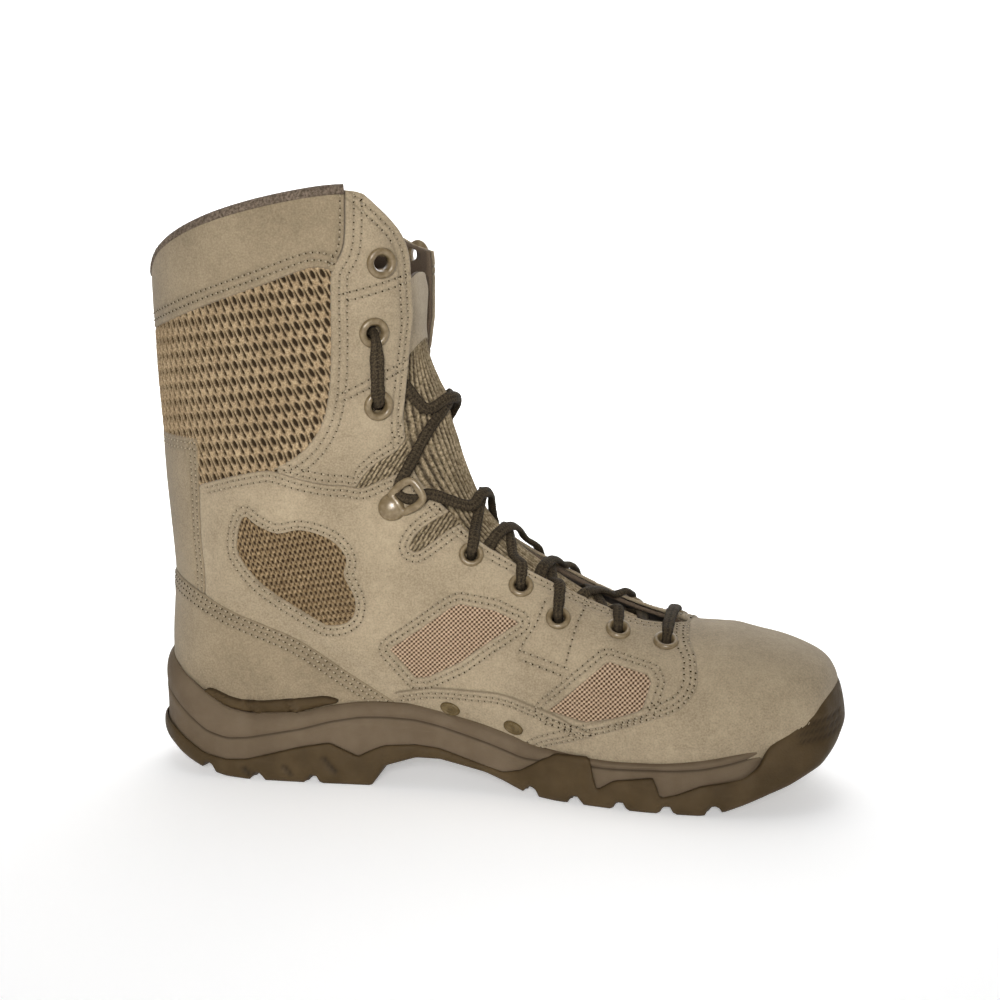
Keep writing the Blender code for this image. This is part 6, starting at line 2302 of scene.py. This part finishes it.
@dataclass
class Lace:
    """One flat-oval lace in two halves, from the bar at the toe up to the eyelets below the top ones.

    A route has steps of section, share of the way from its eyelet or hook to the flap's edge, height over the
    last and squeeze, which runs from -1, flat, to 1, bunched. bar_end and run_end step in girth, not in
    share.
    """

    finishes: Finishes
    spots: Spots
    bar_route: Route = ((0.02, 1.0, 3.7, 0.0), (0.02, 0.85, 3.7, 0.0), (0.02, 0.62, 3.7, 0.0),
                        (0.02, 0.36, 3.7, 0.0), (0.0, 0.12, 3.5, 0.7), (0.0, 0.0, -0.5, 1.0))
    bar_end: Floats = (0.05, 0.06, -4.6, 0.6)
    bar_sink: float = -2.0
    emerge_route: Route = ((-0.03, 0.0, -4.5, 0.8), (0.0, 0.0, -0.5, 1.0), (0.02, 0.10, 3.5, 0.8),
                           (0.05, 0.50, 3.7, 0.2), (0.10, 0.92, 3.2, 0.0))
    dive_route: Route = ((-0.28, 0.95, -3.3, -1.0), (-0.12, 0.45, -3.9, -0.6))
    hook_route: Route = ((-0.62, 0.96, 3.3, 0.0), (-0.48, 0.58, 3.1, 0.0), (-0.18, 0.24, 3.0, 0.6),
                         (0.22, 0.12, 3.1, 0.8), (0.42, 0.34, 3.7, 0.4), (0.55, 0.90, 3.9, 0.0))
    cross_shares: Pairs = (
        (0.72, 0.20), (0.34, 0.36), (0.0, 0.50), (-0.36, 0.64), (-0.72, 0.78))
    cross_arch: float = 0.4
    cross_start: float = 0.1
    cross_stop: float = 0.2
    hook_below: float = 1.5
    hook_above: float = 0.45
    run_shares: Pairs = (
        (0.08, 0.6), (0.25, -0.9), (0.5, -0.9), (0.75, -0.9), (0.92, 0.6))
    run_lift: float = 3.2
    run_arch: float = 2.2
    run_start: Pair = (-1.5, 1.0)
    run_end: Route = ((0.0, 0.0, -1.0, 1.0), (0.05, -0.02, -5.0, 0.8))
    over_gap: float = 0.6
    over_rise: float = 2.7
    half_wide: float = 2.55
    half_high: float = 1.35
    squeeze_wide: float = 0.22
    squeeze_high: float = 0.30
    step: float = 0.6
    curve_steps: int = 12
    sides: int = 16
    braid: float = 1.75
    braid_round: float = 6.0
    braid_deep: float = 0.05
    uneven: float = 0.05
    uneven_waves: tuple[Triple, ...] = ((0.6, 0.9, 0.0), (0.4, 0.37, 1.0))
    hole_gain: float = 1.3
    hole_share: float = 0.8
    path: list[tuple[Array, Array, float]] = field(default_factory=list)

    def add(self, section: float, girth: float, side: Side, lift: float, squeeze: float = 0.0,
            crowned: bool = True) -> None:
        """Adds a control point over the last."""
        place, normal = LAST.surface(section, girth, side, crowned)
        self.path.append((place + normal * lift, normal, squeeze))

    def follow(self, route: Route, spot: Pair, side: Side, edge: float | None = None) -> None:
        """Adds control points along a route.

        Args:
            route: The route's steps.
            spot: Section and girth of its eyelet or hook.
            side: Which side.
            edge: Girth that a whole share runs to, or none for the flap's edge.
        """
        section, girth = spot
        edge = float(LAST.edge(section)) if edge is None else edge
        for ahead, share, lift, squeeze in route:
            self.add(section + ahead, girth + share * (edge - girth), side, lift, squeeze)

    def over(self, section: float, share: float, rise: float) -> None:
        """Adds a control point over the tongue: share runs from -1 at the medial flap to 1 at the lateral."""
        side = Side.MEDIAL if share < 0 else Side.LATERAL
        girth = float(LAST.girth_at(section, abs(share) * LAST.throat(section)))
        lift = float(Tongue.lift(section, abs(share))) + self.half_high + self.over_gap + rise
        self.add(section, girth, side, lift, 0.0, False)

    def cross(self, low: float, high: float, side: Side) -> None:
        """Crosses the tongue from a side to the other between two sections; the lateral strand is on top."""
        rise = 0.0 if side is Side.MEDIAL else self.over_rise
        for share, part in self.cross_shares:
            arch = self.cross_arch * (1 - abs(share))
            self.over(low + (high - low) * part, side.value * share, rise + arch)

    def half(self, side: Side) -> None:
        """One half of the lace, which leaves the bar into this side's lowest eyelet."""
        eyelet = self.spots.eyelet
        section, girth = eyelet("h", side)
        self.follow(self.bar_route, (section, girth), side, 1.0)
        ahead, inward, lift, squeeze = self.bar_end
        self.add(section + ahead, girth + inward, side, lift, squeeze)
        here = side.other
        self.over(0.5 * (section + eyelet("g", here)[0]), 0.0, self.bar_sink)
        self.follow(self.dive_route, eyelet("g", here), here)
        for letter, following in zip("gfe", "fed"):
            spot, goal = eyelet(letter, here), eyelet(following, here.other)
            self.follow(self.emerge_route, spot, here)
            self.cross(spot[0] + self.cross_start, goal[0] - self.cross_stop, here)
            here = here.other
            self.follow(self.dive_route, goal, here)
        self.follow(self.emerge_route, eyelet("d", here), here)
        hook = self.spots.at(*HOOK, here.other)
        self.cross(eyelet("d", here)[0], hook[0] - self.hook_below, here)
        here = here.other
        self.follow(self.hook_route, hook, here)
        low, low_girth = eyelet("c", here.other)
        self.cross(hook[0] + self.hook_above, low - self.hook_below, here)
        here = here.other
        self.follow(self.dive_route, (low, low_girth), here)
        self.side_run((low, low_girth), eyelet("b", here), here)

    def side_run(self, low: Pair, top: Pair, side: Side) -> None:
        """Comes out of an eyelet, runs up the flap and ends inside the one above."""
        self.add(*low, side, *self.run_start)
        for part, squeeze in self.run_shares:
            section, girth = (a + (b - a) * part for a, b in zip(low, top))
            self.add(section, girth, side, self.run_lift + self.run_arch * np.sin(np.pi * part), squeeze)
        for ahead, inward, lift, squeeze in self.run_end:
            self.add(top[0] + ahead, top[1] + inward, side, lift, squeeze)

    def build(self) -> None:
        """Makes both halves as braided tubes."""
        nodes = {
            Side.MEDIAL: ("lace_bar", "lace_run_medial", "lace_cross_1", "lace_cross_2", "lace_cross_3"),
            Side.LATERAL: ("lace_run_lateral", "lace_cross_4", "lace_cross_5"),
        }
        for side in BOTH:
            self.path = []
            self.half(side)
            places = np.array([np.concatenate([p, n, [s]]) for p, n, s in self.path])
            line = resample(spline(places, self.curve_steps), self.step)
            centre, ups, squeeze = line[:, :3], unit(line[:, 3:6]), np.clip(line[:, 6], -1, 1)
            wide = self.half_wide * (1 - self.squeeze_wide * squeeze)
            high = self.half_high * (1 + self.squeeze_high * squeeze)
            points, tris = sweep(centre, ups, wide, high, self.sides, False)
            run = np.arange(len(centre))[:, None] * self.step
            across = self.braid_round * self.braid * np.arange(self.sides)[None, :] / self.sides
            turn = 2 * np.pi / self.braid
            braid = np.cos(turn * (run + across) / 2) * np.cos(turn * (run - across) / 2)
            rough = sum(share * np.sin(rate * run + start) for share, rate, start in self.uneven_waves)
            grid = points.reshape(len(centre), self.sides, 3)
            swell = self.braid_deep * braid + self.uneven * rough
            grid = grid + (grid - centre[:, None]) * swell[..., None]
            # Painted shade in the braid's hollows, carried by the hole attribute.
            hole = np.clip(-self.hole_gain * braid, 0, 1) * self.hole_share
            obj = mesh_object("lace_half_" + side.word, grid.reshape(-1, 3), tris, [self.finishes.lace], None,
                              {"hole": hole.ravel()})
            dress(obj, Slot.LACE, *nodes[side])


# Stage


@dataclass(frozen=True)
class Studio:
    """Camera, lights and floor."""

    target: Triple = (5.0, 0.0, 125.3)
    azimuth: float = 10.0
    elevation: float = 10.0
    distance: float = 900.0
    lens: float = 71.93
    shift: float = -3.15
    sensor: float = 36.0
    clip: Pair = (0.05, 20.0)
    key_cone: float = 23.0
    room: float = 0.24
    floor_front: float = -3.0
    floor_bend: float = 1.6
    floor_round: float = 1.2
    floor_high: float = 4.0
    floor_half: float = 4.0
    floor_drop: float = 0.05
    floor_glow: float = 0.34
    floor_columns: int = 9
    bend_points: int = 24

    def back(self) -> Vector:
        """Direction from the boot to the camera."""
        a, e = np.radians(self.azimuth), np.radians(self.elevation)
        return Vector((np.sin(a) * np.cos(e), -np.cos(a) * np.cos(e), np.sin(e)))

    def camera(self) -> None:
        """The camera at the photo's angle."""
        back = self.back()
        right = Vector((0, 0, 1)).cross(back).normalized()
        data = bpy.data.cameras.new("camera")
        data.lens = self.lens
        data.sensor_width = self.sensor
        data.clip_start, data.clip_end = self.clip
        camera = bpy.data.objects.new("camera", data)
        aim = (Vector(self.target) + right * self.shift) * MM
        camera.location = aim + back * self.distance * MM
        camera.rotation_mode = "QUATERNION"
        camera.rotation_quaternion = (-back).to_track_quat("-Z", "Y")
        bpy.context.scene.collection.objects.link(camera)
        bpy.context.scene.camera = camera

    def light(self, name: str, place: Triple, size: float, power: float,
              at: Triple = (0.0, 0.0, 0.11)) -> None:
        """One soft light that looks at the boot or another place; the key falls off from its middle."""
        data = bpy.data.lights.new(name, "SPOT" if name == "key" else "AREA")
        if name == "key":
            data.shadow_soft_size = size / 2
            data.spot_size, data.spot_blend = np.radians(self.key_cone), 1.0
        else:
            data.shape = "DISK"
            data.size = size
        data.energy = power
        lamp = bpy.data.objects.new(name, data)
        lamp.location = Vector(place)
        aim = Vector(at) - lamp.location
        lamp.rotation_mode = "QUATERNION"
        lamp.rotation_quaternion = aim.to_track_quat("-Z", "Y")
        bpy.context.scene.collection.objects.link(lamp)

    def floor(self) -> None:
        """A plain pale floor that turns up into a backdrop."""
        profile = [(self.floor_front, 0.0), (self.floor_bend, 0.0)]
        for turn in np.linspace(0, np.pi / 2, self.bend_points)[1:]:
            out, up = np.sin(turn), 1 - np.cos(turn)
            profile.append((self.floor_bend + self.floor_round * out, self.floor_round * up))
        profile.append((self.floor_bend + self.floor_round, self.floor_high))
        across = np.linspace(-self.floor_half, self.floor_half, self.floor_columns)
        rows = np.array([[(x, y, z) for x in across] for y, z in profile]) / MM
        rows[..., 2] -= self.floor_drop
        finish = Nodes("pale_floor")
        finish.colour(finish.mix(finish.noise(3.0), (0.90, 0.90, 0.90), (0.92, 0.92, 0.92)))
        finish.set(roughness=0.9, specular_ior_level=0.1, emission_strength=self.floor_glow)
        tris = grid_tris(len(rows), self.floor_columns)[:, ::-1]
        floor = mesh_object("floor", rows.reshape(-1, 3), tris, [finish.material])

    def build(self) -> None:
        """Sets the whole stage."""
        self.camera()
        self.light("key", (0.14, -1.25, 0.55), 0.5, 124.0, (-0.045, 0.0, 0.155))
        self.light("fill", (-1.0, -1.2, 0.5), 1.0, 0.6)
        self.light("top", (0.0, 0.4, 1.8), 1.5, 9.0)
        self.light("back", (-0.2, 1.4, 0.9), 1.2, 4.0)
        self.light("wash", (0.0, 0.9, 1.6), 1.6, 60.0, (0.0, 2.7, 0.7))
        world = bpy.data.worlds.new("soft_room")
        world.use_nodes = True
        sky = world.node_tree.nodes["Background"]
        sky.inputs["Color"].default_value = (1.0, 1.0, 1.0, 1.0)
        sky.inputs["Strength"].default_value = self.room
        bpy.context.scene.world = world
        bpy.context.scene.view_settings.view_transform = "Standard"
        self.floor()


def shell_tree(shells: list[Arrays]) -> BVHTree:
    """A search tree over the outer faces of the overlays."""
    points = np.concatenate([p for p, _ in shells])
    offset = np.cumsum([0] + [len(p) for p, _ in shells[:-1]])
    tris = np.concatenate([t + o for (_, t), o in zip(shells, offset)])
    return BVHTree.FromPolygons(points.tolist(), tris.tolist())


def main() -> None:
    """Builds the boot piece by piece."""
    logging.basicConfig(level=logging.INFO, format="%(relativeCreated)d %(message)s")
    Studio().build()
    finishes = Finishes()
    grids = {side: SideGrid(side, ROW_STEP, GRID_STEP[side]) for side in BOTH}
    spots = Spots(grids)
    upper = UpperWork(finishes, grids, spots)
    upper.build_wall()
    upper.build_overlays()
    HeelInserts(finishes, grids).build()
    for side in BOTH:
        fine, tight = FABRIC_STEP[side], WEAVE_STEP[side]
        for name, outline, pattern, finish, step in (
                ("shaft_mesh", OUTLINES["shaft"](), Pattern.SPACER, finishes.shaft_mesh, fine),
                ("ankle_mesh", seam_points("ankle"), Pattern.KNIT, finishes.ankle_mesh, fine),
                ("weave_rear", seam_points("weave_rear"), Pattern.WEAVE, finishes.weave, tight),
                ("weave_front", seam_points("weave_front"), Pattern.WEAVE, finishes.weave, tight),
                ("notch_low", seam_points("notch_low"), Pattern.RIB, finishes.ribbed, fine),
                ("notch_high", seam_points("notch_high"), Pattern.RIB, finishes.ribbed, fine)):
            FabricWindow(name, outline, pattern, finish, step).build(grids[side])
    Collar(finishes).build()
    Tongue(finishes).build()
    Insole(finishes).build()
    plan = SolePlan()
    Outsole(finishes, plan).build()
    Midsole(finishes, plan).build(shell_tree(upper.shells))
    hardware = Hardware(finishes, spots)
    hardware.eyelets()
    hardware.hooks()
    hardware.vents()
    Lace(finishes, spots).build()


if __name__ == "__main__":
    main()
